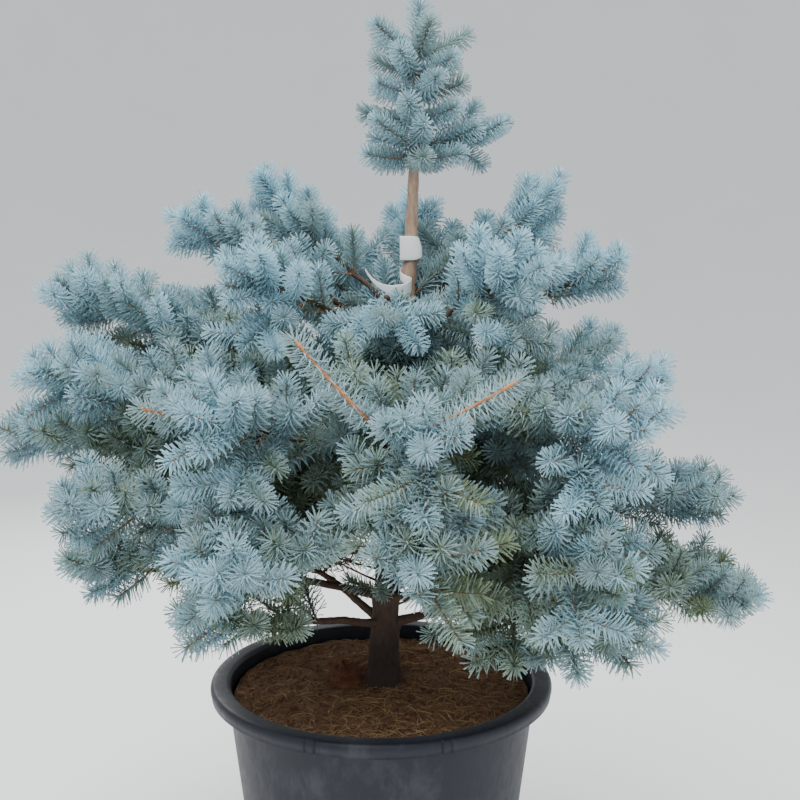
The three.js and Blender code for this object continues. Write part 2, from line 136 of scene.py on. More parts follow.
# Branches that fill the front: bough, share of its line, roll, opening and length
FRINGE = (
    ("skirt_2", 0.24, -158, 66, 118), ("skirt_2", 0.36, -152, 62, 128),
    ("skirt_2", 0.5, -156, 58, 124), ("skirt_2", 0.68, -158, 52, 104),
    ("lower_2", 0.42, -138, 56, 126), ("lower_2", 0.58, -130, 54, 128),
    ("lower_2", 0.74, -124, 50, 114), ("lower_3", 0.62, -50, 54, 116),
    ("lower_3", 0.82, -56, 50, 96), ("lower_4", 0.7, -128, 50, 104), ("lower_3", 0.5, 62, 52, 112),
    ("lower_3", 0.62, 118, 52, 112), ("lower_3", 0.76, 70, 48, 100), ("lower_2", 0.66, 84, 50, 108),
    ("lower_4", 0.6, 96, 50, 108), ("middle_3", 0.6, -60, 52, 112),
    ("middle_3", 0.72, -118, 50, 108), ("middle_3", 0.84, -84, 46, 92),
    ("middle_2", 0.7, -112, 50, 112), ("middle_2", 0.84, -70, 46, 96),
    ("middle_4", 0.66, -70, 50, 112), ("middle_4", 0.82, -108, 46, 96),
    ("upper_3", 0.6, -60, 54, 92), ("upper_3", 0.6, -120, 54, 92), ("upper_2", 0.55, -100, 52, 104),
    ("upper_4", 0.55, -84, 52, 104),
)

# Thick young shoots that show their stems: bough, start and end
THICK = (
    ("middle_3", (1, -300, 747), (-84, -310, 834)), ("middle_3", (24, -318, 736), (142, -336, 792)),
    ("middle_4", (-150, -262, 742), (-262, -284, 764)),
)

# Boughs with greener shoots, and by how much of their length their growth counts as older
GREENER = {"middle_3": 0.2, "middle_4": 0.1, "lower_3": 0.2, "lower_2": 0.12, "skirt_2": 0.16}

# Heights between which short shoots stand on the trunk itself, by tier, and their number
INNER = {"lower": (560, 640), "middle": (640, 765), "upper": (770, 880)}
INNER_SHOOTS = 24

# Short sprigs and dead snags low on the trunk: height, azimuth, length, rise, needled
SNAGS = (
    (492, 200, 44, 20, True), (486, 262, 36, 30, True), (520, 172, 78, 10, False),
    (505, 190, 62, 24, False), (486, 350, 60, 8, False), (470, 20, 46, 14, False),
    (560, 90, 40, 20, True),
)

# Tints of needles, from the palest new growth to the old needles by the wood
TINTS = ("silver", "frost", "blue", "teal", "green")

# Tiers whose shoots bear more needles than the others', and how many times as many
DENSER = {"leader": 1.5, "crown": 1.3, "upper": 1.25}

# A piece of needles stays under this number of triangles
MOST_FACES = 200000

# The compost's disc: level, radius, height of its outer edge, and height of its underside
COMPOST = {"level": 362, "radius": 196.6, "edge": 342, "bottom": 5.4}

# The clod of packed compost by the trunk: middle, half sizes and rise to the back
CLOD = {"middle": (-49, 10, 368), "half": (21, 36, 15), "rise": 0.12}

# Azimuths of the moulded notches in the rim, two pairs in front and two behind
NOTCHES = (248, 251, 289, 292, 68, 71, 109, 112)

# The label's strap: height of its top turn, fall, first azimuth, whole turn, and its tail's points
STRAP = {
    "top": 940, "fall": 44, "azimuth": 228, "turn": 417,
    "tail": ([30, -38, 887], [6, -54, 889], [-18, -62, 912]),
}

# Lights in metres: name, place, width and share of the large light's power
LIGHTS = (
    ("key", (-0.7, -1.2, 2.9), 1.8, 1.0), ("top", (0.1, 0.3, 3.1), 2.4, 1.2),
    ("fill", (1.9, -1.3, 1.3), 1.8, 0.1), ("back", (-1.2, 2.2, 1.8), 1.8, 0.5),
)
LIT_SPOT = (0.02, 0, 0.7)

# How far the camera stands to the right of the pot's middle, in metres
CAMERA_ASIDE = 0.0245

# Heights in metres between which the bark turns from its low colour to its high one
BARK_TURNS = (0.42, 0.98)

# Columns of a shoot's row, after its start and its direction
LENGTH, BARE, FULL, TINT, STEM, UPTURN = range(6, 12)

# Stem radii: rows under the first are old needles on other wood, and over the second thick shoots
OLD_STEM, THICK_STEM = 0.5, 2.2


def linear(*levels):
    """A display colour of 0 to 255 a channel as scene-linear levels with full alpha."""
    part = np.array(levels) / 255
    low, high = part / 12.92, ((part + 0.055) / 1.055) ** 2.4
    return (*np.where(part <= 0.04045, low, high).tolist(), 1.0)


def size(name, text, metres):
    """A length that a user may change, in metres."""
    return bpy.props.FloatProperty(
        name=name, description=text, default=metres, min=0.0, subtype="DISTANCE", unit="LENGTH",
        precision=4
    )


def amount(name, text, value, low=0.0, high=100.0):
    """A plain number that a user may change."""
    return bpy.props.FloatProperty(name=name, description=text, default=value, min=low, max=high)


def colour(name, text, *levels):
    """A colour that a user may change, given in display levels."""
    return bpy.props.FloatVectorProperty(
        name=name, description=text, default=linear(*levels), size=4, subtype="COLOR", min=0, max=1
    )


class SpruceGrowth(bpy.types.PropertyGroup):
    """Sizes and colours of the growing parts."""

    needle_length: size("Needle length", "Length of a full needle", 0.0215)
    needle_width: size("Needle width", "Thickness of a needle at its foot", 0.0024)
    needles_per_cm: amount("Needles per centimetre", "Needles on a centimetre of shoot", 18.5, 1, 40)
    branch_spacing: size("Branch spacing", "Distance between pairs of side branches", 0.044)
    twig_spacing: size("Twig spacing", "Distance between pairs of twigs on a branch", 0.043)
    upturn: amount("Upturn", "How far shoots curve upwards over their length", 0.2, 0, 1)
    silver: colour("Silver", "Needles of the outermost new growth", 173, 211, 224)
    frost: colour("Frost", "Needles with a pale bloom", 162, 195, 205)
    blue: colour("Blue", "Needles of the crown", 150, 177, 181)
    teal: colour("Teal", "Grey-green needles of last year's growth", 148, 170, 162)
    green: colour("Green", "Old needles close to the wood", 124, 140, 112)
    young_twig: colour("Young twig", "Stems of this year's growth", 190, 128, 84)
    old_twig: colour("Old twig", "Stems of older growth", 122, 94, 74)


class SpruceBark(bpy.types.PropertyGroup):
    """Relief and colours of the trunk and the limbs."""

    plate_depth: size("Plate depth", "Height of the bark's scales", 0.0015)
    collar: size("Collar", "Swelling of the trunk where a bough leaves", 0.0035)
    low: colour("Low bark", "Bark near the compost", 76, 63, 57)
    high: colour("High bark", "Bark of the upper trunk", 190, 158, 136)
    limb: colour("Limb bark", "Bark of the boughs", 100, 80, 68)


class SprucePot(bpy.types.PropertyGroup):
    """Sizes and colours of the pot and its label."""

    rim_radius: size("Rim radius", "Outer radius of the rolled rim", 0.225)
    rim_width: size("Rim width", "Width of the rolled rim", 0.026)
    rim_drop: size("Rim drop", "Height of the rolled rim", 0.016)
    foot_radius: size("Foot radius", "Radius of the underside", 0.158)
    height: size("Height", "Height of the pot", 0.38)
    wall: size("Wall", "Thickness of the wall", 0.0032)
    notch: size("Notch depth", "Depth of the moulded notches in the rim", 0.0016)
    plastic: colour("Plastic", "Moulded plastic", 25, 28, 40)
    dust: colour("Dust", "Dust and dry splashes on the plastic", 76, 77, 84)
    label: colour("Label", "Blank tie label", 236, 238, 236)


class SpruceGround(bpy.types.PropertyGroup):
    """Sizes and colours of the compost and its litter."""

    dome: size("Dome", "Rise of the compost towards the trunk", 0.005)
    lumps: size("Lumps", "Height of the compost's lumps", 0.0042)
    litter: bpy.props.IntProperty(
        name="Litter", description="Number of dry needles, straws and chips", default=3400, min=0
    )
    soil: colour("Soil", "Damp compost", 116, 86, 68)
    crumb: colour("Crumb", "Dry crumbs of compost", 154, 120, 94)
    dead: colour("Dead needles", "Dry brown needles", 160, 120, 90)
    straw: colour("Straw", "Pale straws", 188, 156, 112)
    clod: colour("Clod", "Reddish clod of compost", 132, 86, 64)


class SpruceStage(bpy.types.PropertyGroup):
    """The floor, the light and the camera."""

    floor: colour("Floor", "Plain floor", 232, 232, 230)
    sky: colour("Sky", "Plain soft surrounding light", 232, 238, 244)
    sky_strength: amount("Sky strength", "Strength of the surrounding light", 1.15)
    key_strength: amount("Key strength", "Power of the large soft light", 65.0, 0, 1000)
    distance: size("Distance", "Camera's distance from the trunk", 1.33)
    eye_height: size("Eye height", "Camera's height over the floor", 0.885)
    pitch: bpy.props.FloatProperty(
        name="Pitch", description="How far the camera looks down", default=math.radians(6),
        subtype="ANGLE"
    )
    lens: amount("Lens", "Focal length for a 36 mm frame", 46.35, 10, 300)


def seeded(seed):
    """The repeatable source: state = state * 1664525 + 1013904223 modulo 2^32, given as a share."""
    state = seed
    while True:
        state = (state * 1664525 + 1013904223) % 2**32
        yield state / 2**32


def wander(draw, span):
    """A number drawn evenly from -span to span."""
    return span * (2 * next(draw) - 1)


def unit(vectors):
    """Vectors divided by their own lengths."""
    lengths = np.linalg.norm(vectors, axis=-1, keepdims=True)
    return vectors / np.maximum(lengths, 1e-9)


def outward(azimuth):
    """The level direction (cos a, sin a, 0) at an azimuth."""
    turn = math.radians(azimuth)
    return np.array([math.cos(turn), math.sin(turn), 0])


def full_turn(segments):
    """Angles at even steps round one turn, in radians."""
    return 2 * np.pi * np.arange(segments) / segments


def polar(radius, turn, height=0.0):
    """Points (r cos a, r sin a, h) at radii and angles about the upright axis and at heights."""
    parts = np.broadcast_arrays(radius * np.cos(turn), radius * np.sin(turn), height)
    return np.stack(parts, -1)


def across(along):
    """Two directions square to each direction: the level one, left of it, and the one above it."""
    along = np.asarray(along, float)
    level = np.stack([-along[..., 1], along[..., 0], np.zeros_like(along[..., 0])], -1)
    steep = np.linalg.norm(level, axis=-1, keepdims=True) < 0.2
    side = np.array([1.0, 0, 0]) - along * along[..., :1]
    level = unit(np.where(steep, side, level))
    return level, np.cross(along, level)


def lattice(u, v, columns, seed):
    """Smooth noise from 0 to 1: seeded heights at whole numbers of u and v, joined by the smoothstep
    curve 3t^2 - 2t^3 both ways; u comes round again after the given number of columns, and v after
    512 rows."""
    rows = 512
    heights = np.random.default_rng(seed).random((columns, rows))
    i, j = np.floor(u).astype(int), np.floor(v).astype(int)
    s, t = u - i, v - j
    s, t = s * s * (3 - 2 * s), t * t * (3 - 2 * t)
    left, right = i % columns, (i + 1) % columns
    low, high = j % rows, (j + 1) % rows
    below = heights[left, low] * (1 - s) + heights[right, low] * s
    above = heights[left, high] * (1 - s) + heights[right, high] * s
    return below * (1 - t) + above * t


def cubic(points, t):
    """The curve (1-t)^3 A + 3(1-t)^2 t B + 3(1-t) t^2 C + t^3 D of four control points."""
    a, b, c, d = points
    return (1 - t) ** 3 * a + 3 * (1 - t) ** 2 * t * b + 3 * (1 - t) * t**2 * c + t**3 * d


def trunk_point(share):
    """The middle of the trunk at a share of its cubic curve."""
    return cubic([np.array(p, float) for p in TRUNK["line"]], np.asarray(share, float)[..., None])


def trunk_share(height):
    """The share of the trunk's line at a height, read off a table of its heights."""
    shares = np.linspace(0, 1, 400)
    return np.interp(height, trunk_point(shares)[:, 2], shares)


def trunk_radius(share, turn=0.0):
    """Taper (1 - share)^0.85 from foot to tip, and a root flare with lobes that fades with height."""
    height = trunk_point(share)[..., 2] - GROUND + SUNK
    taper = TRUNK["tip_radius"] + (TRUNK["radius"] - TRUNK["tip_radius"]) * (1 - share) ** 0.85
    lobes = 1 + TRUNK["lobe_depth"] * np.cos(TRUNK["lobes"] * turn)
    return taper + TRUNK["flare"] * lobes * np.exp(-height / TRUNK["flare_height"])


def from_trunk(height, azimuth, rise, depth=0.8):
    """Start and direction of a shoot that leaves the trunk at a height, an azimuth and a rise; its
    start lies at a share of the trunk's radius."""
    share, out, steep = trunk_share(height), outward(azimuth), math.radians(rise)
    start = trunk_point(share) + out * float(trunk_radius(share)) * depth
    return start, out * math.cos(steep) + np.array([0, 0, math.sin(steep)])


def tube_faces(tubes, rings, sides):
    """Triangles of closed tubes whose points are a start pole, rings of sides, and an end pole."""
    k = np.arange(sides)
    n = (k + 1) % sides
    last = 1 + rings * sides
    low = (1 + sides * np.arange(rings - 1)[:, None] + k).ravel()
    side = (1 + sides * np.arange(rings - 1)[:, None] + n).ravel()
    body = np.concatenate([
        np.stack([low, side, side + sides], -1), np.stack([low, side + sides, low + sides], -1)
    ])
    start = np.stack([np.zeros(sides, int), 1 + n, 1 + k], -1)
    end = np.stack([np.full(sides, last), last - sides + k, last - sides + n], -1)
    one = np.concatenate([start, body, end])
    return (one[None] + (last + 1) * np.arange(tubes)[:, None, None]).reshape(-1, 3)


def capped(first, rings, last):
    """Rings of points closed by a pole at either end, and their triangles."""
    points = np.concatenate([[first], rings.reshape(-1, 3), [last]])
    return points, tube_faces(1, *rings.shape[:2])


def carried(paths, radii, sides):
    """A circle carried along each path: points are path + radius (cos a level + sin a square), with
    a from 0 to a full turn, closed at both ends by a pole. Paths are (m, k, 3), radii (m, k) or
    (m, k, sides)."""
    level, square = across(unit(np.gradient(paths, axis=1)))
    turn = full_turn(sides)
    if radii.ndim == 2:
        radii = radii[..., None]
    wide, tall = (np.cos(turn) * radii)[..., None], (np.sin(turn) * radii)[..., None]
    ring = wide * level[:, :, None] + tall * square[:, :, None]
    rings = (paths[:, :, None] + ring).reshape(len(paths), -1, 3)
    points = np.concatenate([paths[:, :1], rings, paths[:, -1:]], axis=1)
    return points.reshape(-1, 3), tube_faces(len(paths), paths.shape[1], sides)


def turned(radius, height, turn):
    """A profile of radii and heights turned about the upright axis through the given angles; its
    first and last points are poles on the axis. Radii are (rings,) or (rings, angles)."""
    radius, height = (part.reshape(len(part), -1) for part in (radius, height))
    ring = polar(radius, turn, height)
    return capped([0, 0, height[0].mean()], ring[1:-1], [0, 0, height[-1].mean()])


def spindles(start, middle, end, radius):
    """Slim closed bodies of six faces: a start point, three points set round the middle at the given
    radius square to the line from start to end, and an end point."""
    level, square = across(unit(end - start))
    turn = full_turn(3)
    ring = middle[:, None] + radius[:, None, None] * (
        np.cos(turn)[:, None] * level[:, None] + np.sin(turn)[:, None] * square[:, None]
    )
    points = np.concatenate([start[:, None], ring, end[:, None]], axis=1).reshape(-1, 3)
    return points, tube_faces(len(start), 1, 3)


def blades(start, end, width, point):
    """Needles of four faces: two points to either side of the start at half the width, and two
    above and below the end at half the point's width, so that a needle is as wide from every side."""
    side, above = across(unit(end - start))
    side, above = side * width / 2, above * point / 2
    points = np.stack([start + side, start - side, end + above, end - above], axis=1).reshape(-1, 3)
    one = np.array([(1, 0, 3), (0, 1, 2), (3, 0, 2), (2, 1, 3)])
    faces = (one[None] + 4 * np.arange(len(start))[:, None, None]).reshape(-1, 3)
    return points, faces


def added(name, data):
    """A new object of the scene that holds a mesh, a light or a camera."""
    thing = bpy.data.objects.new(name, data)
    bpy.context.scene.collection.objects.link(thing)
    return thing


def piece(name, points, faces, materials, nodes=(), tints=None, smooth=True):
    """Puts points in millimetres and triangles into a mesh that rides on the plant. Tints choose
    the material of each triangle, or of each of equal runs of triangles."""
    mesh = bpy.data.meshes.new(name)
    mesh.vertices.add(len(points))
    mesh.vertices.foreach_set("co", (np.asarray(points) * MM).astype(np.float32).ravel())
    mesh.loops.add(faces.size)
    mesh.loops.foreach_set("vertex_index", faces.astype(np.int32).ravel())
    mesh.polygons.add(len(faces))
    mesh.polygons.foreach_set("loop_start", (3 * np.arange(len(faces))).astype(np.int32))
    for material in materials:
        mesh.materials.append(material)
    if tints is not None:
        tints = np.repeat(tints, len(faces) // len(tints))
        mesh.polygons.foreach_set("material_index", tints.astype(np.int32))
    mesh.polygons.foreach_set("use_smooth", np.full(len(faces), smooth))
    mesh.update(calc_edges=True)
    if mesh.validate():
        raise RuntimeError(f"{name} came out with broken faces")
    thing = added(name, mesh)
    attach(thing, "root")
    if nodes:
        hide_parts(*nodes)
    return thing


def feed(tree, made, values):
    """Gives sockets of a node, by name or number, their values; an output is linked instead."""
    for socket, value in values.items():
        if isinstance(value, bpy.types.NodeSocket):
            tree.links.new(value, made.inputs[socket])
        else:
            made.inputs[socket].default_value = value


def node(tree, kind, values=None, **settings):
    """A new shader node with its own settings, and values or links for its sockets."""
    made = tree.nodes.new(f"ShaderNode{kind}")
    for name, setting in settings.items():
        setattr(made, name, setting)
    feed(tree, made, values or {})
    return made


def mottle():
    """The shared effect: coarse and fine noise on the piece's own coordinates. Their blend slides
    the colour from Dark to Light and the roughness from Smooth to Rough; the fine noise is Height."""
    tree = bpy.data.node_groups.get("mottle")
    if tree:
        return tree
    tree = bpy.data.node_groups.new("mottle", "ShaderNodeTree")
    inputs = {"Vector": "Vector", "Coarse": "Float", "Fine": "Float", "Dark": "Color",
              "Light": "Color", "Smooth": "Float", "Rough": "Float"}
    outputs = {"Colour": "Color", "Roughness": "Float", "Height": "Float"}
    for way, sockets in (("INPUT", inputs), ("OUTPUT", outputs)):
        for name, kind in sockets.items():
            tree.interface.new_socket(name, in_out=way, socket_type=f"NodeSocket{kind}")
    given, outside = tree.nodes.new("NodeGroupInput").outputs, tree.nodes.new("NodeGroupOutput")
    noises = []
    for scale, detail in (("Coarse", 3.0), ("Fine", 5.0)):
        sockets = {"Vector": given["Vector"], "Scale": given[scale], "Detail": detail}
        noises.append(node(tree, "TexNoise", sockets).outputs["Fac"])
    coarse, fine = noises
    share = node(tree, "Math", {0: fine, 1: 0.45}, operation="MULTIPLY").outputs[0]
    blend = node(tree, "Math", {0: coarse, 1: 0.55, 2: share}, operation="MULTIPLY_ADD").outputs[0]
    spread = node(tree, "MapRange", {"Value": blend, "From Min": 0.36, "From Max": 0.64})
    slide = spread.outputs["Result"]
    mix = node(tree, "Mix", {"Factor": slide, "A": given["Dark"], "B": given["Light"]},
               data_type="RGBA")
    rough = node(tree, "MapRange", {"Value": slide, "To Min": given["Smooth"],
                                    "To Max": given["Rough"]})
    feed(tree, outside, {"Colour": mix.outputs["Result"], "Roughness": rough.outputs["Result"],
                         "Height": fine})
    return tree


def finish(name, dark, light, coarse, fine, rough, bump=None, stretch=(1, 1, 1), specular=0.3):
    """A material whose colour, roughness and bump come from mottle on Object coordinates. Rough
    holds the least and the most roughness, and bump its strength and its height in metres."""
    material = bpy.data.materials.new(name)
    material.use_nodes = True
    tree = material.node_tree
    shader = tree.nodes["Principled BSDF"]
    place = node(tree, "TexCoord").outputs["Object"]
    mapping = node(tree, "Mapping", {"Vector": place, "Scale": stretch})
    effect = node(tree, "Group", {
        "Vector": mapping.outputs["Vector"], "Coarse": coarse, "Fine": fine, "Dark": dark,
        "Light": light, "Smooth": rough[0], "Rough": rough[1],
    }, node_tree=mottle()).outputs
    feed(tree, shader, {"Base Color": effect["Colour"], "Roughness": effect["Roughness"],
                        "Specular IOR Level": specular})
    if bump:
        relief = node(tree, "Bump", {"Height": effect["Height"], "Strength": bump[0],
                                     "Distance": bump[1]})
        feed(tree, shader, {"Normal": relief.outputs["Normal"]})
    return material


def shaded(tone, share):
    """A colour with its levels multiplied by a share, with full alpha."""
    return (*(min(1.0, level * share) for level in tone[:3]), 1.0)


def first_of(tree, kind):
    """The first node of a kind in a material."""
    return next(found for found in tree.nodes if found.type == kind)


def slid_by_height(material, low, high, heights, socket):
    """Slides a colour of the effect from low to high between two heights on the piece, in metres."""
    tree = material.node_tree
    split = node(tree, "SeparateXYZ", {"Vector": first_of(tree, "TEX_COORD").outputs["Object"]})
    slide = node(tree, "MapRange", {"Value": split.outputs["Z"], "From Min": heights[0],
                                    "From Max": heights[1]})
    mix = node(tree, "Mix", {"Factor": slide.outputs["Result"], "A": low, "B": high},
               data_type="RGBA")
    feed(tree, first_of(tree, "GROUP"), {socket: mix.outputs["Result"]})


def all_boughs():
    """Every bough of the tiers with its line's three control points, seed and radius. Roots are
    dealt out up the trunk by threes. The height of the tier, from 0 to 1, gives how full its needles
    are."""
    found = []
    for t, (tier, row) in enumerate(TIERS.items()):
        root, spread, rise, radius, bare, plump, table = row
        high = min(1.0, (root - LOW_ROOT) / ROOT_RANGE)
        for i, (azimuth, reach, tip) in enumerate(table):
            up = ((i * 3) % len(table)) / len(table)
            start = trunk_point(trunk_share(root + spread * up))
            out = outward(azimuth)
            bend = start + out * reach / 2
            bend[2] += reach / 2 * math.tan(math.radians(rise))
            end = start + out * reach
            end[2] = tip
            label = f"{tier}_{i + 1}"
            found.append({
                "tier": tier, "label": label, "group": f"{tier}_{LETTERS[i // 3]}",
                "line": (start, bend, end), "reach": math.hypot(*(end - start)[:2]),
                "seed": 101 * (t + 1) + 7 * i, "radius": radius, "bare": bare, "plump": plump,
                "root": root, "high": high, "full": 1.04 - 0.2 * high,
                "older": GREENER.get(label, 0),
            })
    return found


def bough_point(line, share):
    """The quadratic curve (1-t)^2 A + 2(1-t)t B + t^2 C and its direction."""
    t = np.asarray(share, float)[..., None]
    a, b, c = line
    point = (1 - t) ** 2 * a + 2 * (1 - t) * t * b + t**2 * c
    return point, unit(2 * (1 - t) * (b - a) + 2 * t * (c - b))


def leaning(along, roll, opening):
    """A direction that opens from another by an angle, rolled about it from its level left side."""
    level, square = across(along)
    turn, wide = math.radians(roll), math.radians(opening)
    side = math.cos(turn) * level + math.sin(turn) * square
    return math.cos(wide) * along + math.sin(wide) * side


class Shoots:
    """Rows of shoots: start, direction, length, bare length, fullness, tint, stem radius, upturn.
    Shoots end at a level distance from a centre, the limit."""

    def __init__(self):
        self.rows = []
        self.centre = np.zeros(2)
        self.limit = np.inf

    def add(self, start, direction, length, bare=6.0, full=1.0, tint=2, stem=1.4, upturn=1.0):
        """One shoot, cut back to the limit and to the hem; none whose tip would lie by the trunk
        or that would stand in an open space. Gives the length that was grown."""
        tip = start + direction * length
        near, far = (math.hypot(*(p[:2] - self.centre)) for p in (start, tip))
        if far > self.limit:
            length *= (self.limit - near) / max(far - near, 1)
            if length < SHORTEST:
                return 0
            tip = start + direction * length
        if tip[2] < HEM:
            length *= (HEM - start[2]) / (tip[2] - start[2])
            if length < SHORTEST:
                return 0
            tip = start + direction * length
        off = np.linalg.norm((trunk_point(trunk_share(tip[2])) - tip)[:2])
        if off < TRUNK_CLEARANCE and tip[2] < LEADER_FOOT:
            return 0
        for low, high in OPEN_SPACES:
            for share in (0.3, 0.5, 0.75, 1):
                spot = start + share * (tip - start)
                if (low < spot).all() and (spot < high).all():
                    return 0
        bare = min(bare, 0.5 * length)
        self.rows.append((*start, *direction, length, bare, full, tint, stem, upturn))
        return length

    def add_twigs(self, start, direction, twigs, opening, **sizes):
        """Twigs that open by the same angle from a shoot, at places along it and with rolls."""
        for place, roll in twigs:
            self.add(start + direction * place, leaning(direction, roll, opening), **sizes)

    def table(self):
        """All rows as one array."""
        return np.array(self.rows, float).reshape(-1, UPTURN + 1)


def shoot_axis(rows, shares, upturn):
    """Points and directions on each shoot's curve: start + length (t direction + upturn t^2 up),
    where up is the part of the upward direction that is square to the shoot."""
    start, direction, length = rows[:, 0:3], rows[:, 3:6], rows[:, LENGTH]
    lift = UP - direction * direction[:, 2:3]
    bend = (upturn * rows[:, UPTURN])[:, None, None] * lift[:, None]
    t = shares[..., None]
    point = start[:, None] + length[:, None, None] * (t * direction[:, None] + bend * t**2)
    return point, unit(direction[:, None] + 2 * bend * t)


def grow_bough(growth, bough, shoots):
    """The rule of one bough: pairs of side branches at even steps from its foliage's start to its
    tip, opening less and reaching less far the nearer they are to the tip, with a branch above and
    one below each pair except by the tip, and a second above on plump boughs. The branches of the
    tables and the tip follow."""
    draw = seeded(bough["seed"])
    line = bough["line"]
    steps, _ = bough_point(line, np.linspace(0, 1, 33))
    length = np.linalg.norm(np.diff(steps, axis=0), axis=1).sum()
    shoots.centre = line[0][:2]
    shoots.limit = bough["reach"] - NEEDLE_ROOM
    first = bough["bare"] or (float(trunk_radius(trunk_share(bough["root"]))) + 14) / length
    number = max(4, int((1 - first) * length / (growth.branch_spacing / MM)))
    hang = HANG.get(bough["tier"], 0.5)
    for n in range(number):
        t = (n + 0.35 + wander(draw, 0.2)) / number
        point, along = bough_point(line, first + (1 - first) * t)
        reach = length * (0.35 - 0.2 * t) * (0.62 + 0.38 * min(1, 3 * t + 0.35))
        rolls = [*SIDES]
        if t < 0.9:
            rolls += [ABOVE[n % 3], BELOW[n % 2]]
        if bough["plump"] > 1.2 and t < 0.7:
            rolls.append(ABOVE[(n + 2) % 3])
        for roll in rolls:
            flat = roll in SIDES
            share = 1 if flat else 0.7 if roll > 0 else hang
            span = max(reach * (0.85 + wander(draw, 0.2)) * share, 52)
            opening = (60 if flat else 48) - 18 * t + wander(draw, 9)
            direction = leaning(along, roll + wander(draw, 14), opening)
            grow_branch(growth, bough, shoots, draw, point, direction, span, t, flat)
    grow_front(growth, bough, shoots, draw)
    grow_tip(bough, shoots, draw, length, first)


def grow_front(growth, bough, shoots, draw):
    """The branches and the thick young shoots that the tables give a bough."""
    for label, share, roll, opening, span in FRINGE:
        if label == bough["label"]:
            point, along = bough_point(bough["line"], share)
            direction = leaning(along, roll + wander(draw, 6), opening)
            grow_branch(growth, bough, shoots, draw, point, direction, span, share)
    for label, start, end in THICK:
        if label == bough["label"]:
            run = np.subtract(end, start).astype(float)
            shoots.add(np.array(start, float), unit(run), np.linalg.norm(run), bare=8, stem=2.9,
                       upturn=0.3)


def grow_tip(bough, shoots, draw, length, first):
    """A bough's end shoot, four shoots that open round it, and old needles on the bough's own wood
    from its middle outwards."""
    line, full, tint = bough["line"], bough["full"], round(4 * bough["older"])
    point, along = bough_point(line, 1 - 86 / length)
    shoots.add(point, along, 74, bare=2, full=full, tint=tint, stem=1.6, upturn=0.5)
    for roll in (15, 165, 90, 270):
        back, along = bough_point(line, 1 - 92 / length)
        direction = leaning(along, roll + wander(draw, 10), 38)
        shoots.add(back, direction, 60 + wander(draw, 6), bare=4, full=full, tint=tint)
    for share in np.arange(max(0.34, first), 1 - 100 / length, 60 / length):
        point, along = bough_point(line, share)
        tint = 2 + (share < 0.75) + (share < 0.55)
        shoots.add(point, along, 62, bare=0, full=0.85, tint=tint, stem=0.4, upturn=0)


def branch_tint(draw, high, outer):
    """The tint of a branch by how far out it is, and by draw a step greener and darker on most low
    boughs, which is painted shade, and a step paler on most high ones, which is a painted highlight."""
    tint = sum(outer <= edge for edge in (0.92, 0.66, 0.34))
    # Painted shade: most low boughs a tint darker and greener, as under light from above
    if high < 0.35 and next(draw) < 1 - high:
        tint += 1
    # Painted highlight: most high boughs a tint paler, as where light from above falls
    if high > 0.8:
        tint = min(tint, 2) - (tint > 0 and next(draw) < 0.8)
    return tint


def grow_branch(growth, bough, shoots, draw, point, direction, span, t, flat=False):
    """A side branch: its newest growth bears dense pale needles, its older wood sparser green ones,
    and pairs of twigs stand at even steps along it, in its own plane. The more a bough's growth
    counts as older, the less far out its branches count as being."""
    full = bough["full"]
    outer = t - bough["older"] + 0.4 * span / 200 + wander(draw, 0.25)
    tint = branch_tint(draw, bough["high"], outer)
    lift = 1 if direction[2] > -0.2 else 0.4
    bare = span - min(span, NEWEST) if span > OLD_FROM else 8
    grown = shoots.add(point, direction, span, bare, full, tint, stem=1.6, upturn=lift)
    if not grown:
        return
    if grown > OLD_FROM:
        inner = 3 if next(draw) < 0.6 else 4
        shoots.add(point, direction, grown * 0.99, 14, 0.8, inner, stem=0.4, upturn=lift)
    step = growth.twig_spacing / MM
    place = 0.42 * step + 14
    rise = growth.upturn * lift * (UP - direction * direction[2])
    while place < grown - 26 and grown > TWIGS_FROM:
        middle = point + direction * place + rise * place**2 / grown
        for roll in (6, 174):
            reach = min(0.55 * (grown - place) + 44, 92) * (0.9 + wander(draw, 0.12))
            near = 0.7 if place < 0.35 * grown else 1
            twig = leaning(unit(direction), roll + wander(draw, 18), 46 + wander(draw, 8))
            twig_tint = tint + (place < 0.4 * grown) + round(wander(draw, 0.8))
            twig_tint = min(4, max(0, twig_tint))
            shoots.add(middle, twig, reach * near, bare=5, full=0.97 * full, tint=twig_tint, stem=1.1)
        if flat and next(draw) < 0.7:
            twig = leaning(unit(direction), 90 + wander(draw, 30), 44)
            reach = 54 + wander(draw, 8)
            shoots.add(middle, twig, reach, bare=4, full=0.92 * full, tint=tint, stem=1.1)
        place += step * (1 + wander(draw, 0.12))


def grow_inner(shoots, tier, part):
    """Short green shoots on the trunk within a tier, a golden angle of 137.5 degrees apart; the
    groups of a tier share them out by threes."""
    low, high = INNER[tier]
    tint = 2 if tier == "upper" else 3
    for k in range(part, INNER_SHOOTS, 3):
        height = low + (high - low) * k / (INNER_SHOOTS - 1)
        start, direction = from_trunk(height, 137.5 * k + 20 * len(tier), 14 + 9 * (k % 4))
        shoots.add(start, direction, 74 + 9 * (k % 3), bare=10, full=0.95, tint=tint, stem=1.6,
                   upturn=0.5)
        shoots.add_twigs(start, direction, ((26, 8), (34, 172)), opening=50, length=56, bare=4,
                         full=0.92, tint=tint, stem=1.2, upturn=0.5)


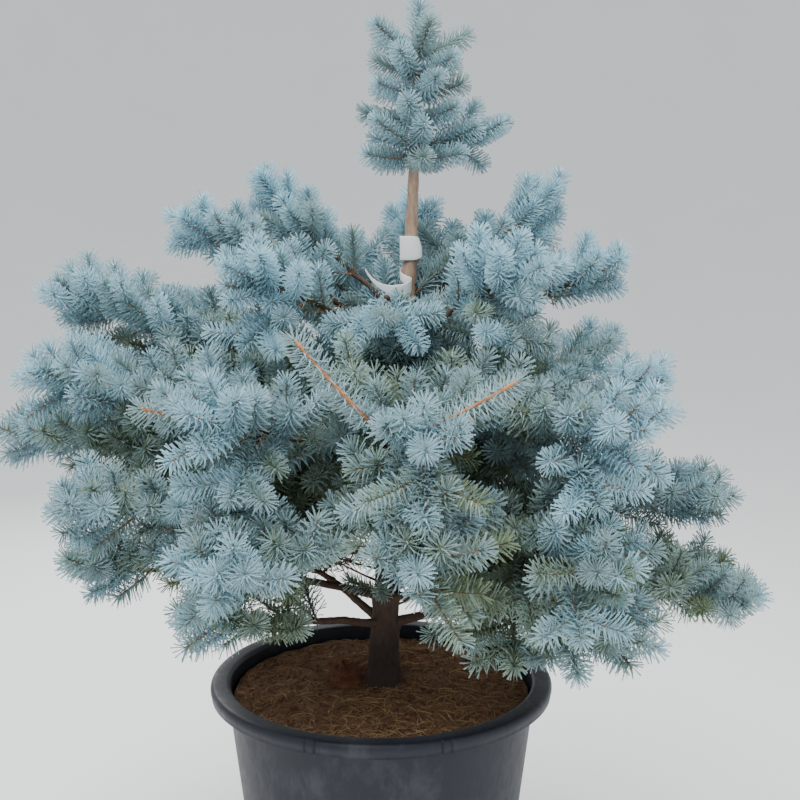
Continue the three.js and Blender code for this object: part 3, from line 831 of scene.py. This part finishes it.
def grow_leader(shoots):
    """The leader: whorls of shoots that stand out from the top of the trunk, more steeply the
    higher they are, with twigs on the longest, and the tip shoot."""
    draw = seeded(977)
    twigs = ((34, 8), (36, 172), (66, 8), (68, 172), (50, 90), (44, -90))
    for height, first, lengths, rise in WHORLS:
        for i, length in enumerate(lengths):
            azimuth = first + 360 * i / len(lengths) + wander(draw, 10)
            start, direction = from_trunk(height, azimuth, rise + wander(draw, 6), 0.6)
            tint = 1 if next(draw) < 0.55 else 2
            shoots.add(start, direction, length - 8, bare=2, full=0.88, tint=tint, stem=1.7,
                       upturn=0.6)
            if length > 100:
                shoots.add_twigs(start, direction, twigs, opening=48, length=50, bare=4, full=0.86,
                                 tint=tint, stem=1.2, upturn=0.5)
    top = trunk_point(1.0)
    shoots.add(top - [0, 0, 14], np.array([0.05, 0, 1.0]), LEADER_TIP - top[2] + 6, bare=2, tint=1,
               stem=1.8, upturn=0)


def grow_snags(shoots):
    """Sprigs and dead snags on the lower trunk, which may stand below the hem."""
    for height, azimuth, length, rise, needled in SNAGS:
        start, direction = from_trunk(height, azimuth, rise)
        full = 0.75 if needled else 0
        shoots.rows.append((*start, *direction, length, 4, full, 3, 1.8, 0.4))


def needles_of(growth, rows, seed, dense=1.0):
    """Needles of shoots: spaced along the curve, closer to the tip, each a golden angle of 137.5
    degrees round from the last. A needle opens 66 degrees from the shoot; over the last quarter
    they fold to between 16 and 48 degrees, which gives a blunt round end. On thick shoots, and less
    so on three in ten others, they part on the side p that faces up and outwards,
    out - k max(0, out . p) p, and show the stem."""
    chance = np.random.default_rng(seed)
    dense = dense * growth.needles_per_cm * np.where(rows[:, TINT] < 3, 1, 0.8)
    count = np.maximum(10, (rows[:, LENGTH] - rows[:, BARE]) / 10 * dense)
    count = np.where(rows[:, STEM] < OLD_STEM, 0.4 * count, count).astype(int)
    which = np.repeat(np.arange(len(rows)), count)
    order = np.arange(len(which)) - np.repeat(np.cumsum(count) - count, count)
    row = rows[which]
    run = (order + 0.5) / count[which]
    bare = row[:, BARE] / row[:, LENGTH]
    share = bare + (1 - bare) * (1 - (1 - run) ** 1.28)
    base, along = shoot_axis(row, share[:, None], growth.upturn)
    base, along = base[:, 0], along[:, 0]
    level, square = across(along)
    turn = np.radians(137.508) * order + chance.uniform(0, 6.3, len(rows))[which]
    out = np.cos(turn)[:, None] * level + np.sin(turn)[:, None] * square
    away = unit(np.concatenate([row[:, :2], 0.8 * np.hypot(row[:, :1], row[:, 1:2])], axis=1))
    some = 0.8 * (chance.random(len(rows)) < 0.3)
    parting = np.where(rows[:, STEM] > THICK_STEM, 1.25, some)[which]
    facing = np.maximum(0, (out * away).sum(1)) * parting
    out = unit(out - facing[:, None] * away + [0, 0, 0.14])
    tipwards = np.clip((run - 0.74) / 0.26, 0, 1) ** 1.6
    opening = np.radians(66 - 50 * tipwards * chance.uniform(0.35, 1, len(row)))
    opening += np.radians(chance.normal(0, 4, len(row)))
    way = np.cos(opening)[:, None] * along + np.sin(opening)[:, None] * out
    length = growth.needle_length / MM * row[:, FULL] * chance.uniform(0.86, 1.06, len(row))
    length = (length * (1 - 0.28 * tipwards))[:, None]
    width = growth.needle_width / MM
    points, faces = blades(base, base + way * length, width, 0.62 * width)
    stray = chance.random(len(row))
    tint = row[:, TINT] + (stray > 0.93) - (stray < 0.06)
    # Painted shade: the lower face of every needle takes the next tint down, one step greener and
    # darker than its other three faces
    tint = np.repeat(tint, 4) + np.tile([1, 0, 0, 0], len(row))
    return points, faces, np.clip(tint, 0, len(TINTS) - 1)


class MakingOperator:
    """What the operators share: their place in the undo list."""

    bl_options = {"REGISTER", "UNDO"}


class SPRUCE_OT_trunk(MakingOperator, bpy.types.Operator):
    """Trunk with scaly bark, root flare and a collar at each bough"""

    bl_idname = "spruce.trunk"
    bl_label = "Trunk"

    def execute(self, context):
        """Radius is the taper and flare, plus depth (scales + 0.5 grain - 1.5 cracks), where each
        is stretched noise and a crack is 1 - |2 noise - 1|^0.35, plus a collar
        exp(-(height/9)^2 - (turn/0.45)^2) at each bough."""
        bark = context.scene.spruce_bark
        rings, sides = 440, 112
        share = np.linspace(trunk_share(GROUND), 1, rings)
        line, turn = trunk_point(share), full_turn(sides)[None]
        radius, height = trunk_radius(share[:, None], turn), line[:, 2][:, None]
        u, v = turn / (2 * np.pi), height / 10
        skew = 1.4 * lattice(u * 6, v * 0.6, 6, 11)
        scales = lattice(u * 13 + skew, v * 0.75 + skew, 13, 3)
        cracks = 1 - np.abs(2 * lattice(u * 9 + skew, v * 0.45, 9, 5) - 1) ** 0.35
        grain = lattice(u * 34, v * 2.6, 34, 8)
        depth = bark.plate_depth / MM * (0.35 + 0.65 * np.clip(radius / 20, 0, 1))
        radius = radius + depth * (scales + 0.5 * grain - 1.5 * cracks)
        level, square = across(unit(np.gradient(line, axis=0)))
        for bough in all_boughs():
            start, bend, _ = bough["line"]
            out = bend - start
            at = np.argmin(np.abs(height[:, 0] - start[2]))
            side = math.atan2(out @ square[at], out @ level[at])
            off = (turn - side + np.pi) % (2 * np.pi) - np.pi
            swell = np.exp(-((off / 0.45) ** 2) - ((height - start[2]) / 9) ** 2)
            radius = radius + bark.collar / MM * swell
        points, faces = carried(line[None], radius[None], sides)
        points[:, 2] = np.maximum(points[:, 2], GROUND)
        material = finish("spruce_bark", shaded(bark.low, 0.7), bark.low, 26, 210, (0.8, 0.95),
                          (0.5, 0.002), stretch=(1, 1, 0.4), specular=0.2)
        slid_by_height(material, bark.low, bark.high, BARK_TURNS, "Light")
        slid_by_height(material, shaded(bark.low, 0.6), shaded(bark.high, 0.55), BARK_TURNS, "Dark")
        piece("trunk_bark", points, faces, [material], ["trunk"])
        return {"FINISHED"}


class SPRUCE_OT_boughs(MakingOperator, bpy.types.Operator):
    """Limbs with bumpy bark, from inside the trunk to near their tips"""

    bl_idname = "spruce.boughs"
    bl_label = "Boughs"

    def execute(self, context):
        """A circle carried along each bough's curve, which sways a little. Its radius is
        1.8 + (0.72 r - 1.8) (1 - t)^1.4, flares by 3 exp(-t / 0.03) where it leaves the trunk and
        is raised by small pegs of noise."""
        bark = context.scene.spruce_bark
        boughs = all_boughs()
        rings, sides, short = 84, 14, 66
        steps = np.linspace(0, 1, rings)
        share = steps * (1 - short / np.array([b["reach"] for b in boughs])[:, None])
        paths = np.stack([bough_point(b["line"], s)[0] for b, s in zip(boughs, share)])
        sway = lattice(share * 9, share * 0 + np.arange(len(boughs))[:, None], 64, 21)
        paths[:, :, 2] += 5 * (sway - 0.5) * np.sin(np.pi * steps)
        radii = np.array([b["radius"] for b in boughs])[:, None]
        thick = 1.8 + (0.72 * radii - 1.8) * (1 - share) ** 1.4 + 3 * np.exp(-share / 0.03)
        turn = np.arange(sides) / sides
        run = (share * 75)[..., None] + 40 * np.arange(len(boughs))[:, None, None]
        pegs = lattice(turn[None, None] * 7 + 0 * run, run, 7, 31)
        points, faces = carried(paths, thick[..., None] * (0.9 + 0.26 * pegs), sides)
        material = finish("limb_bark", shaded(bark.limb, 0.5), bark.limb, 34, 260, (0.8, 0.95),
                          (0.4, 0.0015), specular=0.2)
        nodes = [f"bough_{b['label']}" for b in boughs if b["bare"]]
        piece("boughs", points, faces, [material], nodes)
        return {"FINISHED"}


class SPRUCE_OT_foliage(MakingOperator, bpy.types.Operator):
    """Side branches, twigs and needles of every bough and of the leader"""

    bl_idname = "spruce.foliage"
    bl_label = "Twigs and needles"

    def execute(self, context):
        """Each group of boughs gives one mesh of needles; all stems are one mesh."""
        growth = context.scene.spruce_growth
        needles = [self.waxy(getattr(growth, tint), tint) for tint in TINTS]
        stems, groups = [], {}
        for bough in all_boughs():
            groups.setdefault(bough["group"], []).append(bough)
        groups["leader_a"] = []
        for i, (name, boughs) in enumerate(groups.items()):
            rows = self.grown(growth, name, boughs)
            stems.append(rows)
            dense = DENSER.get(name.split("_")[0], 1)
            points, faces, tints = needles_of(growth, rows[rows[:, FULL] > 0], 500 + i, dense)
            if len(faces) >= MOST_FACES:
                raise RuntimeError(f"needles_{name} has {len(faces)} faces")
            nodes = [f"foliage_{b['label']}" for b in boughs] or ["foliage_leader"]
            piece(f"needles_{name}", points, faces, needles, nodes, tints, smooth=False)
        self.stems(growth, np.concatenate(stems))
        return {"FINISHED"}

    def grown(self, growth, name, boughs):
        """The shoots of a group: its boughs', with its share of those on the trunk, or the
        leader's and the lower trunk's."""
        shoots = Shoots()
        for bough in boughs:
            grow_bough(growth, bough, shoots)
        tier, letter = name.split("_")
        if tier in INNER:
            shoots.limit = np.inf
            grow_inner(shoots, tier, LETTERS.index(letter))
        if not boughs:
            grow_leader(shoots)
            grow_snags(shoots)
        return shoots.table()

    def waxy(self, tone, tint):
        """Waxy needles, paler where the bloom is thick."""
        return finish(f"needle_{tint}", shaded(tone, 0.72), shaded(tone, 1.12), 22, 420,
                      (0.48, 0.72), specular=0.35)

    def stems(self, growth, rows):
        """A circle carried along each shoot's curve, thinning to its tip and swelling there to a
        bud; old ones are grey-brown and young ones orange-brown."""
        share = np.broadcast_to([0, 0.3, 0.6, 0.86, 0.93, 1.0], (len(rows), 6))
        path, _ = shoot_axis(rows, share, growth.upturn)
        radius = rows[:, STEM][:, None] * np.array([1, 0.85, 0.7, 0.55, 0.95, 0.4])
        points, faces = carried(path, radius, 5)
        old = finish("old_twig", shaded(growth.old_twig, 0.7), growth.old_twig, 40, 300,
                     (0.75, 0.9), (0.3, 0.001))
        new = finish("young_twig", shaded(growth.young_twig, 0.75), growth.young_twig, 40, 300,
                     (0.6, 0.8), (0.3, 0.001))
        piece("twigs", points, faces, [old, new], tints=rows[:, TINT] < 2.5)


def arc(middle_x, middle_z, half_x, half_z, first, last, number):
    """Points on an ellipse, middle + half sizes times (cos a, sin a), from one angle to another."""
    angles = np.radians(np.linspace(first, last, number))
    return [(middle_x + half_x * math.cos(a), middle_z + half_z * math.sin(a)) for a in angles]


class SPRUCE_OT_pot(MakingOperator, bpy.types.Operator):
    """Moulded pot with a rolled rim, rim notches and drain holes at its foot"""

    bl_idname = "spruce.pot"
    bl_label = "Pot"

    def execute(self, context):
        """A profile turned about the upright axis. The rim's radius is drawn in over the notches'
        narrow turns and swells a little between two pairs, and the wall ripples slightly."""
        pot = context.scene.spruce_pot
        foot, rim, high = pot.foot_radius / MM, pot.rim_radius / MM, pot.height / MM
        under = high - pot.rim_drop / MM
        profile = self.profile(pot, foot, rim, high, under)
        centres = np.radians(NOTCHES)
        beside = np.array([-3.2, -2.2, -1.7, -1.2, 0, 1.2, 1.7, 2.2, 3.2]) / rim
        turn = np.unique(np.concatenate([full_turn(320), (centres[:, None] + beside).ravel()]))
        radius = np.repeat(profile[:, :1], len(turn), 1)
        height = np.repeat(profile[:, 1:], len(turn), 1)
        on_rim = (profile[:, 1] > under - 3) & (profile[:, 0] > rim - 8)
        off = np.abs((turn[:, None] - centres + np.pi) % (2 * np.pi) - np.pi).min(1)
        groove = np.exp(-((off * rim / 1.4) ** 6))
        between = [(turn > np.radians(a + 3)) & (turn < np.radians(a + 38)) for a in (250, 70)]
        radius[on_rim] -= pot.notch / MM * groove - 0.5 * (between[0] | between[1])
        ripple = lattice(turn * 8 / (2 * np.pi), turn * 0 + 2, 8, 71) - 0.5
        on_wall = (profile[:, 0] > foot - 1) & (profile[:, 1] < under - 3)
        radius[on_wall] += 1.2 * ripple * (profile[on_wall, 1:] / high)
        points, faces = turned(radius, height, turn)
        material = finish("moulded_plastic", shaded(pot.plastic, 0.8), shaded(pot.plastic, 1.15),
                          7, 160, (0.42, 0.6), (0.12, 0.0006), stretch=(1, 1, 0.35), specular=0.4)
        self.dusty(material, pot)
        self.drained(piece("nursery_pot", points, faces, [material], ["pot"]), foot)
        return {"FINISHED"}

    def profile(self, pot, foot, rim, high, under):
        """Radii and heights from the middle of the underside outwards, round the foot's corner, up
        the leaning wall, under and over the rolled rim, down inside and over the floor."""
        wall, corner, curl = pot.wall / MM, 6, 3
        neck = rim - pot.rim_width / MM + wall
        inner = neck - wall
        low, top = np.array([foot, corner]), np.array([neck, under - curl])
        return np.array([
            (0, 3), (40, 3), (foot - 22, 3), (foot - 20, 0), (foot - corner, 0),
            *arc(foot - corner, corner, corner, corner, -80, 0, 6),
            *(low + (top - low) * t for t in np.linspace(0.02, 1, 46)),
            *arc(neck + curl, under - curl, curl, curl, 180, 90, 4)[1:],
            (rim - 7, under), (rim - 5, under - 0.9), (rim - 1.4, under - 1),
            *arc(rim - 6, high - 8, 6, 8, -38, 90, 12),
            (rim - 14, high), (inner + 6, high - 0.6),
            *arc(inner + 6, high - 6.6, 6, 6, 95, 180, 6),
            (inner - 0.5, high - 30), (foot + 12, 120), (foot - wall, 8), (foot - 8, 5), (40, 5),
            (0, 5),
        ], float)

    def drained(self, thing, foot):
        """Eight drain holes cut through the corner of the foot: round bars taken from the pot."""
        holes, radius, half = 8, 8, 12
        bars = []
        for turn in full_turn(holes) + np.pi / holes - np.pi / 2:
            place = [foot * math.cos(turn), foot * math.sin(turn), 0]
            height = np.array([-half, -half, half, half], float)
            points, faces = turned(np.array([0, radius, radius, 0.0]), height, full_turn(24))
            bars.append((points + place, faces + len(bars) * len(points)))
        mesh = bpy.data.meshes.new("drain_bars")
        points, faces = (np.concatenate(part) for part in zip(*bars))
        mesh.from_pydata((points * MM).tolist(), [], faces.tolist())
        cutter = added("drain_bars", mesh)
        cut = thing.modifiers.new("drains", "BOOLEAN")
        cut.operation = "DIFFERENCE"
        cut.object = cutter
        cut.solver = "EXACT"
        bpy.context.view_layer.update()
        shown = thing.evaluated_get(bpy.context.evaluated_depsgraph_get())
        whole = bpy.data.meshes.new_from_object(shown)
        thing.modifiers.clear()
        old = thing.data
        thing.data = whole
        bpy.data.meshes.remove(old)
        bpy.data.objects.remove(cutter)
        bpy.data.meshes.remove(mesh)

    def dusty(self, material, pot):
        """Dust over the plastic: streaked noise slides the colour to the dust's."""
        tree = material.node_tree
        place = first_of(tree, "TEX_COORD").outputs["Object"]
        mapping = node(tree, "Mapping", {"Vector": place, "Scale": (1, 1, 0.55)})
        noise = node(tree, "TexNoise", {"Vector": mapping.outputs["Vector"], "Scale": 19,
                                        "Detail": 8, "Roughness": 0.7})
        mask = node(tree, "MapRange", {"Value": noise.outputs["Fac"], "From Min": 0.52,
                                       "From Max": 0.78, "To Max": 0.68})
        plain = first_of(tree, "GROUP").outputs["Colour"]
        mix = node(tree, "Mix", {"Factor": mask.outputs["Result"], "A": plain, "B": pot.dust},
                   data_type="RGBA")
        feed(tree, tree.nodes["Principled BSDF"], {"Base Color": mix.outputs["Result"]})


def compost_height(ground, x, y):
    """Height of the compost at a place: a low dome and lumps of noise of three sizes."""
    dome = ground.dome / MM * np.clip(1 - (np.hypot(x, y) / 120) ** 2, -0.4, 1)
    lumps = (
        lattice(x / 31 + 20, y / 31 + 20, 64, 41)
        + 0.55 * lattice(x / 12 + 32, y / 12 + 32, 64, 42)
        + 0.3 * lattice(x / 5 + 90, y / 5 + 90, 256, 43)
        - 0.92
    )
    return COMPOST["level"] + dome + ground.lumps / MM * lumps


class SPRUCE_OT_compost(MakingOperator, bpy.types.Operator):
    """Compost surface with lumps, and the litter that lies on it"""

    bl_idname = "spruce.compost"
    bl_label = "Compost and litter"

    def execute(self, context):
        """A disc of rings whose height is the compost's, with a side and an underside."""
        ground, pot = context.scene.spruce_ground, context.scene.spruce_pot
        turn, edge = full_turn(300), COMPOST["radius"]
        low = (pot.foot_radius - pot.wall) / MM - 2
        radius = np.concatenate([[0, low], [edge - 4], np.linspace(edge - 2, 2, 90), [0]])
        wide = np.repeat(radius[:, None], len(turn), 1)
        height = compost_height(ground, wide * np.cos(turn), wide * np.sin(turn))
        height[:2] = COMPOST["bottom"]
        height[2] = COMPOST["edge"]
        height[-1] = compost_height(ground, np.zeros(1), np.zeros(1))
        points, faces = turned(wide, height, turn)
        soil = finish("compost", shaded(ground.soil, 0.6), ground.crumb, 46, 620, (0.88, 0.98),
                      (0.7, 0.003), specular=0.15)
        piece("compost_top", points, faces, [soil], ["compost"])
        self.litter(ground)
        self.fibres(ground)
        self.lump(ground)
        return {"FINISHED"}

    def fibres(self, ground):
        """Curled roots and straws: arcs of a circle lying on the compost, point = centre + r (cos a,
        sin a), each carried by a small circle that thins to both ends."""
        chance = np.random.default_rng(58)
        n, steps = 620, 9
        reach, around = 182 * np.sqrt(chance.random(n)), chance.uniform(0, 2 * np.pi, n)
        curl = chance.uniform(7, 34, n)
        sweep = chance.uniform(22, 60, n) / curl
        run = np.linspace(0, 1, steps)
        turn = chance.uniform(0, 2 * np.pi, n)[:, None] + sweep[:, None] * run
        middle = turn[:, steps // 2][:, None]
        x = (reach * np.cos(around))[:, None] + curl[:, None] * (np.cos(turn) - np.cos(middle))
        y = (reach * np.sin(around))[:, None] + curl[:, None] * (np.sin(turn) - np.sin(middle))
        far = np.maximum(1, np.hypot(x, y) / 189)
        x, y = x / far, y / far
        arch = chance.uniform(0.2, 3.5, n)[:, None] * np.sin(np.pi * run)
        path = np.stack([x, y, compost_height(ground, x, y) + 0.7 + arch], -1)
        thin = 1 - 0.6 * np.linspace(-1, 1, steps) ** 4
        points, faces = carried(path, chance.uniform(0.3, 0.62, n)[:, None] * thin, 4)
        in_front = path[:, steps // 2, 1] < -110
        pale = chance.random(n) < 0.12 + 0.3 * in_front
        root = finish("root_fibre", shaded(ground.dead, 0.6), ground.dead, 50, 400, (0.8, 0.95))
        straw = finish("straw_fibre", shaded(ground.straw, 0.75), ground.straw, 50, 400, (0.7, 0.9))
        piece("fibres", points, faces, [root, straw], tints=pale)

    def lump(self, ground):
        """A clod of packed compost near the trunk: an ellipsoid whose radius is raised by two
        sizes of noise, sunk about half into the ground."""
        rings, sides = 60, 90
        steep = np.linspace(0, np.pi, rings)[:, None]
        turn = full_turn(sides)[None]
        noise = lattice(turn * 9 / (2 * np.pi), steep * 4 + 3, 9, 17) - 0.5
        fine = lattice(turn * 30 / (2 * np.pi), steep * 13 + 9, 30, 19) - 0.5
        out = 1 + 0.5 * noise + 0.2 * fine
        out[[0, -1]] = 1
        wide, deep, tall = CLOD["half"]
        x = wide * np.sin(steep) * np.cos(turn) * out
        y = deep * np.sin(steep) * np.sin(turn) * out
        z = tall * np.cos(steep) * out + CLOD["rise"] * y
        ring = np.stack([x, y, z], -1) + CLOD["middle"]
        points, faces = capped(ring[0, 0], ring[1:-1], ring[-1, 0])
        earth = finish("clod", shaded(ground.clod, 0.55), ground.clod, 70, 520, (0.85, 0.98),
                       (0.6, 0.002), specular=0.15)
        piece("clod", points, faces[:, ::-1], [earth])

    def litter(self, ground):
        """Spindles strewn over the compost: short dead needles, longer straws gathered to the
        front, flat chips and reddish crumbs, each lying along the surface."""
        chance = np.random.default_rng(90)
        n = ground.litter
        reach = 188 * np.sqrt(chance.random(n))
        turn = chance.uniform(0, 2 * np.pi, n)
        kind = chance.choice(4, n, p=(0.6, 0.09, 0.2, 0.11))
        straw = kind == 1
        turn = np.where(straw & (chance.random(n) < 0.7), chance.normal(-1.5, 0.7, n), turn)
        reach = np.where(reach < 30, 30 + reach, reach)
        spans = ((7, 17), (16, 46), (5, 12), (4, 9))
        length = np.choose(kind, [chance.uniform(*span, n) for span in spans])
        thick = np.choose(kind, [0.5, 0.55, 2.0, 2.4]) * chance.uniform(0.7, 1.4, n)
        way = chance.uniform(0, 2 * np.pi, n)
        middle, half = polar(reach, turn), polar(length / 2, way)
        start, end = middle - half, middle + half
        for spot in (start, end):
            spot[:, :2] /= np.maximum(1, np.hypot(spot[:, 0], spot[:, 1]) / 191)[:, None]
        for spot, lift in ((start, 0.6), (end, 0.9), (middle, 1.0)):
            spot[:, 2] = compost_height(ground, spot[:, 0], spot[:, 1]) + lift
        end[:, 2] += np.where(straw, chance.uniform(0, 5, n), chance.uniform(0, 1.5, n))
        middle[:, 2] += np.where(straw, 2.5, 0.4)
        middle += chance.normal(0, 1, (n, 3)) * [1, 1, 0] * (length * 0.07)[:, None]
        points, faces = spindles(start, middle, end, thick)
        tones = {"dead_needles": ground.dead, "straws": ground.straw, "chips": ground.crumb,
                 "clods": ground.clod}
        materials = [
            finish(f"litter_{name}", shaded(tone, 0.62), shaded(tone, 1.1), 60, 500, (0.8, 0.95))
            for name, tone in tones.items()
        ]
        piece("litter", points, faces, materials, tints=kind, smooth=False)


class SPRUCE_OT_label(MakingOperator, bpy.types.Operator):
    """Blank tie label wound round the trunk, with a face in front and a loose tail"""

    bl_idname = "spruce.label"
    bl_label = "Tie label"

    def execute(self, context):
        """A rounded strap section carried along a falling turn round the trunk and out along its
        tail: point + out times half thickness + up times half width, widest at the face."""
        wound = np.linspace(0, 1, 110)
        height = STRAP["top"] - STRAP["fall"] * np.clip((wound - 0.18) / 0.82, 0, 1) ** 0.8
        share = trunk_share(height)
        radius = trunk_radius(share) + 2.6
        turn = np.radians(STRAP["azimuth"] + STRAP["turn"] * wound)
        wide = radius + 9.5 * np.exp(-((wound / 0.3) ** 4))
        line = trunk_point(share) + np.stack([wide * np.cos(turn), radius * np.sin(turn), 0 * turn], -1)
        line[:, 2] = height
        line = np.concatenate([line, self.through(np.array([line[-1], *STRAP["tail"]]))])
        along = unit(np.gradient(line, axis=0))
        out = unit(np.stack([along[:, 1], -along[:, 0], 0 * along[:, 0]], -1))
        run = np.linspace(0, 1, len(line))
        half = 5.5 + 10 * np.exp(-((run / 0.155) ** 8)) + 2.6 * np.exp(-(((run - 0.8) / 0.12) ** 2))
        half *= 1 - 0.72 * np.clip((run - 0.86) / 0.14, 0, 1)
        section = np.radians(np.arange(0, 360, 30))
        flat = np.sign(np.cos(section)) * np.abs(np.cos(section)) ** 0.5 * 0.55
        tall = np.sign(np.sin(section)) * np.abs(np.sin(section)) ** 0.5
        sideways = flat[None, :, None] * out[:, None]
        upwards = tall[None, :, None] * half[:, None, None] * UP
        points, faces = capped(line[0], line[:, None] + sideways + upwards, line[-1])
        tone = context.scene.spruce_pot.label
        material = finish("label_film", shaded(tone, 0.86), tone, 30, 300, (0.4, 0.55), (0.1, 0.0005))
        piece("tie_label", points, faces[:, ::-1], [material], ["label"])
        return {"FINISHED"}

    def through(self, points):
        """The cubic curve that passes four points A, B, C and D at a share of 0, 1/3, 2/3 and 1, by
        its control points A, (-5A + 18B - 9C + 2D)/6, (2A - 9B + 18C - 5D)/6 and D. The first point
        is left out."""
        a, b, c, d = points
        first = (-5 * a + 18 * b - 9 * c + 2 * d) / 6
        second = (2 * a - 9 * b + 18 * c - 5 * d) / 6
        return cubic((a, first, second, d), np.linspace(0, 1, 42)[1:, None])


class SPRUCE_OT_stage(MakingOperator, bpy.types.Operator):
    """Plain floor, soft light and the camera"""

    bl_idname = "spruce.stage"
    bl_label = "Stage"

    def execute(self, context):
        """Makes the floor, the sky, the lights and the camera."""
        stage = context.scene.spruce_stage
        self.floor(stage)
        world = bpy.data.worlds.new("soft_sky")
        context.scene.world = world
        world.use_nodes = True
        sky = world.node_tree.nodes["Background"]
        sky.inputs["Color"].default_value = stage.sky
        sky.inputs["Strength"].default_value = stage.sky_strength
        for name, place, width, share in LIGHTS:
            lamp = bpy.data.lights.new(name, "AREA")
            lamp.shape = "DISK"
            lamp.size = width
            lamp.energy = stage.key_strength * share
            thing = added(name, lamp)
            thing.location = place
            aim = np.subtract(LIT_SPOT, place)
            pitch = math.acos(-aim[2] / np.linalg.norm(aim))
            thing.rotation_euler = (pitch, 0, math.atan2(aim[1], aim[0]) - math.pi / 2)
        lens = bpy.data.cameras.new("viewer")
        lens.sensor_width = 36
        lens.lens = stage.lens
        camera = added("viewer", lens)
        camera.location = (CAMERA_ASIDE, -stage.distance, stage.eye_height)
        camera.rotation_euler = (math.pi / 2 - stage.pitch, 0, 0)
        context.scene.camera = camera
        return {"FINISHED"}

    def floor(self, stage):
        """The floor is level as far as 2.4 m out and then curves up in a quarter of an ellipse, 7 m
        wide and 6 m high, turned about the upright axis."""
        level, wide, high, sides = 2.4, 7, 6, 128
        bend = np.radians(np.linspace(0, 90, 40))
        radius = np.concatenate([np.linspace(0.4, 2.2, 8), level + wide * np.sin(bend)])
        height = np.concatenate([np.zeros(8), high * (1 - np.cos(bend))])
        ring = polar(radius[:, None], full_turn(sides), height[:, None])
        points = np.concatenate([[[0, 0, 0]], ring.reshape(-1, 3)])
        k = np.arange(sides)
        low = 1 + sides * np.arange(len(radius) - 1)[:, None]
        inner, beside = (low + k).ravel(), (low + (k + 1) % sides).ravel()
        middle = np.stack([np.zeros(sides, int), 1 + k, 1 + (k + 1) % sides], -1)
        wall = np.stack([inner, inner + sides, beside + sides, beside], -1)
        mesh = bpy.data.meshes.new("floor")
        mesh.from_pydata(points.tolist(), [], middle.tolist() + wall.tolist())
        mesh.polygons.foreach_set("use_smooth", np.ones(len(middle) + len(wall), bool))
        mesh.materials.append(finish("floor", shaded(stage.floor, 0.97), stage.floor, 2, 40,
                                     (0.85, 0.95)))
        floor = added("floor", mesh)


class SPRUCE_PT_panel(bpy.types.Panel):
    """The plant's pieces and their settings"""

    bl_idname = "SPRUCE_PT_panel"
    bl_label = "Potted blue spruce"
    bl_space_type = "VIEW_3D"
    bl_region_type = "UI"
    bl_category = "Spruce"

    def draw(self, context):
        """Lists each operator and then each group's settings."""
        for operator in OPERATORS:
            self.layout.operator(operator.bl_idname)
        for name, group in GROUPS.items():
            box = self.layout.box()
            for setting in group.__annotations__:
                box.prop(getattr(context.scene, name), setting)


GROUPS = {
    "spruce_growth": SpruceGrowth,
    "spruce_bark": SpruceBark,
    "spruce_pot": SprucePot,
    "spruce_ground": SpruceGround,
    "spruce_stage": SpruceStage,
}
OPERATORS = (
    SPRUCE_OT_stage, SPRUCE_OT_pot, SPRUCE_OT_compost, SPRUCE_OT_trunk, SPRUCE_OT_boughs,
    SPRUCE_OT_foliage, SPRUCE_OT_label,
)


def register():
    """Registers the settings, the operators and the panel."""
    for name, group in GROUPS.items():
        bpy.utils.register_class(group)
        setattr(bpy.types.Scene, name, bpy.props.PointerProperty(type=group))
    for operator in OPERATORS:
        bpy.utils.register_class(operator)
    bpy.utils.register_class(SPRUCE_PT_panel)


def unregister():
    """Takes them all away again."""
    bpy.utils.unregister_class(SPRUCE_PT_panel)
    for operator in reversed(OPERATORS):
        bpy.utils.unregister_class(operator)
    for name, group in GROUPS.items():
        delattr(bpy.types.Scene, name)
        bpy.utils.unregister_class(group)


def main():
    """Builds the plant piece by piece."""
    register()
    for operator in OPERATORS:
        family, name = operator.bl_idname.split(".")
        getattr(getattr(bpy.ops, family), name)()


if __name__ == "__main__":
    main()
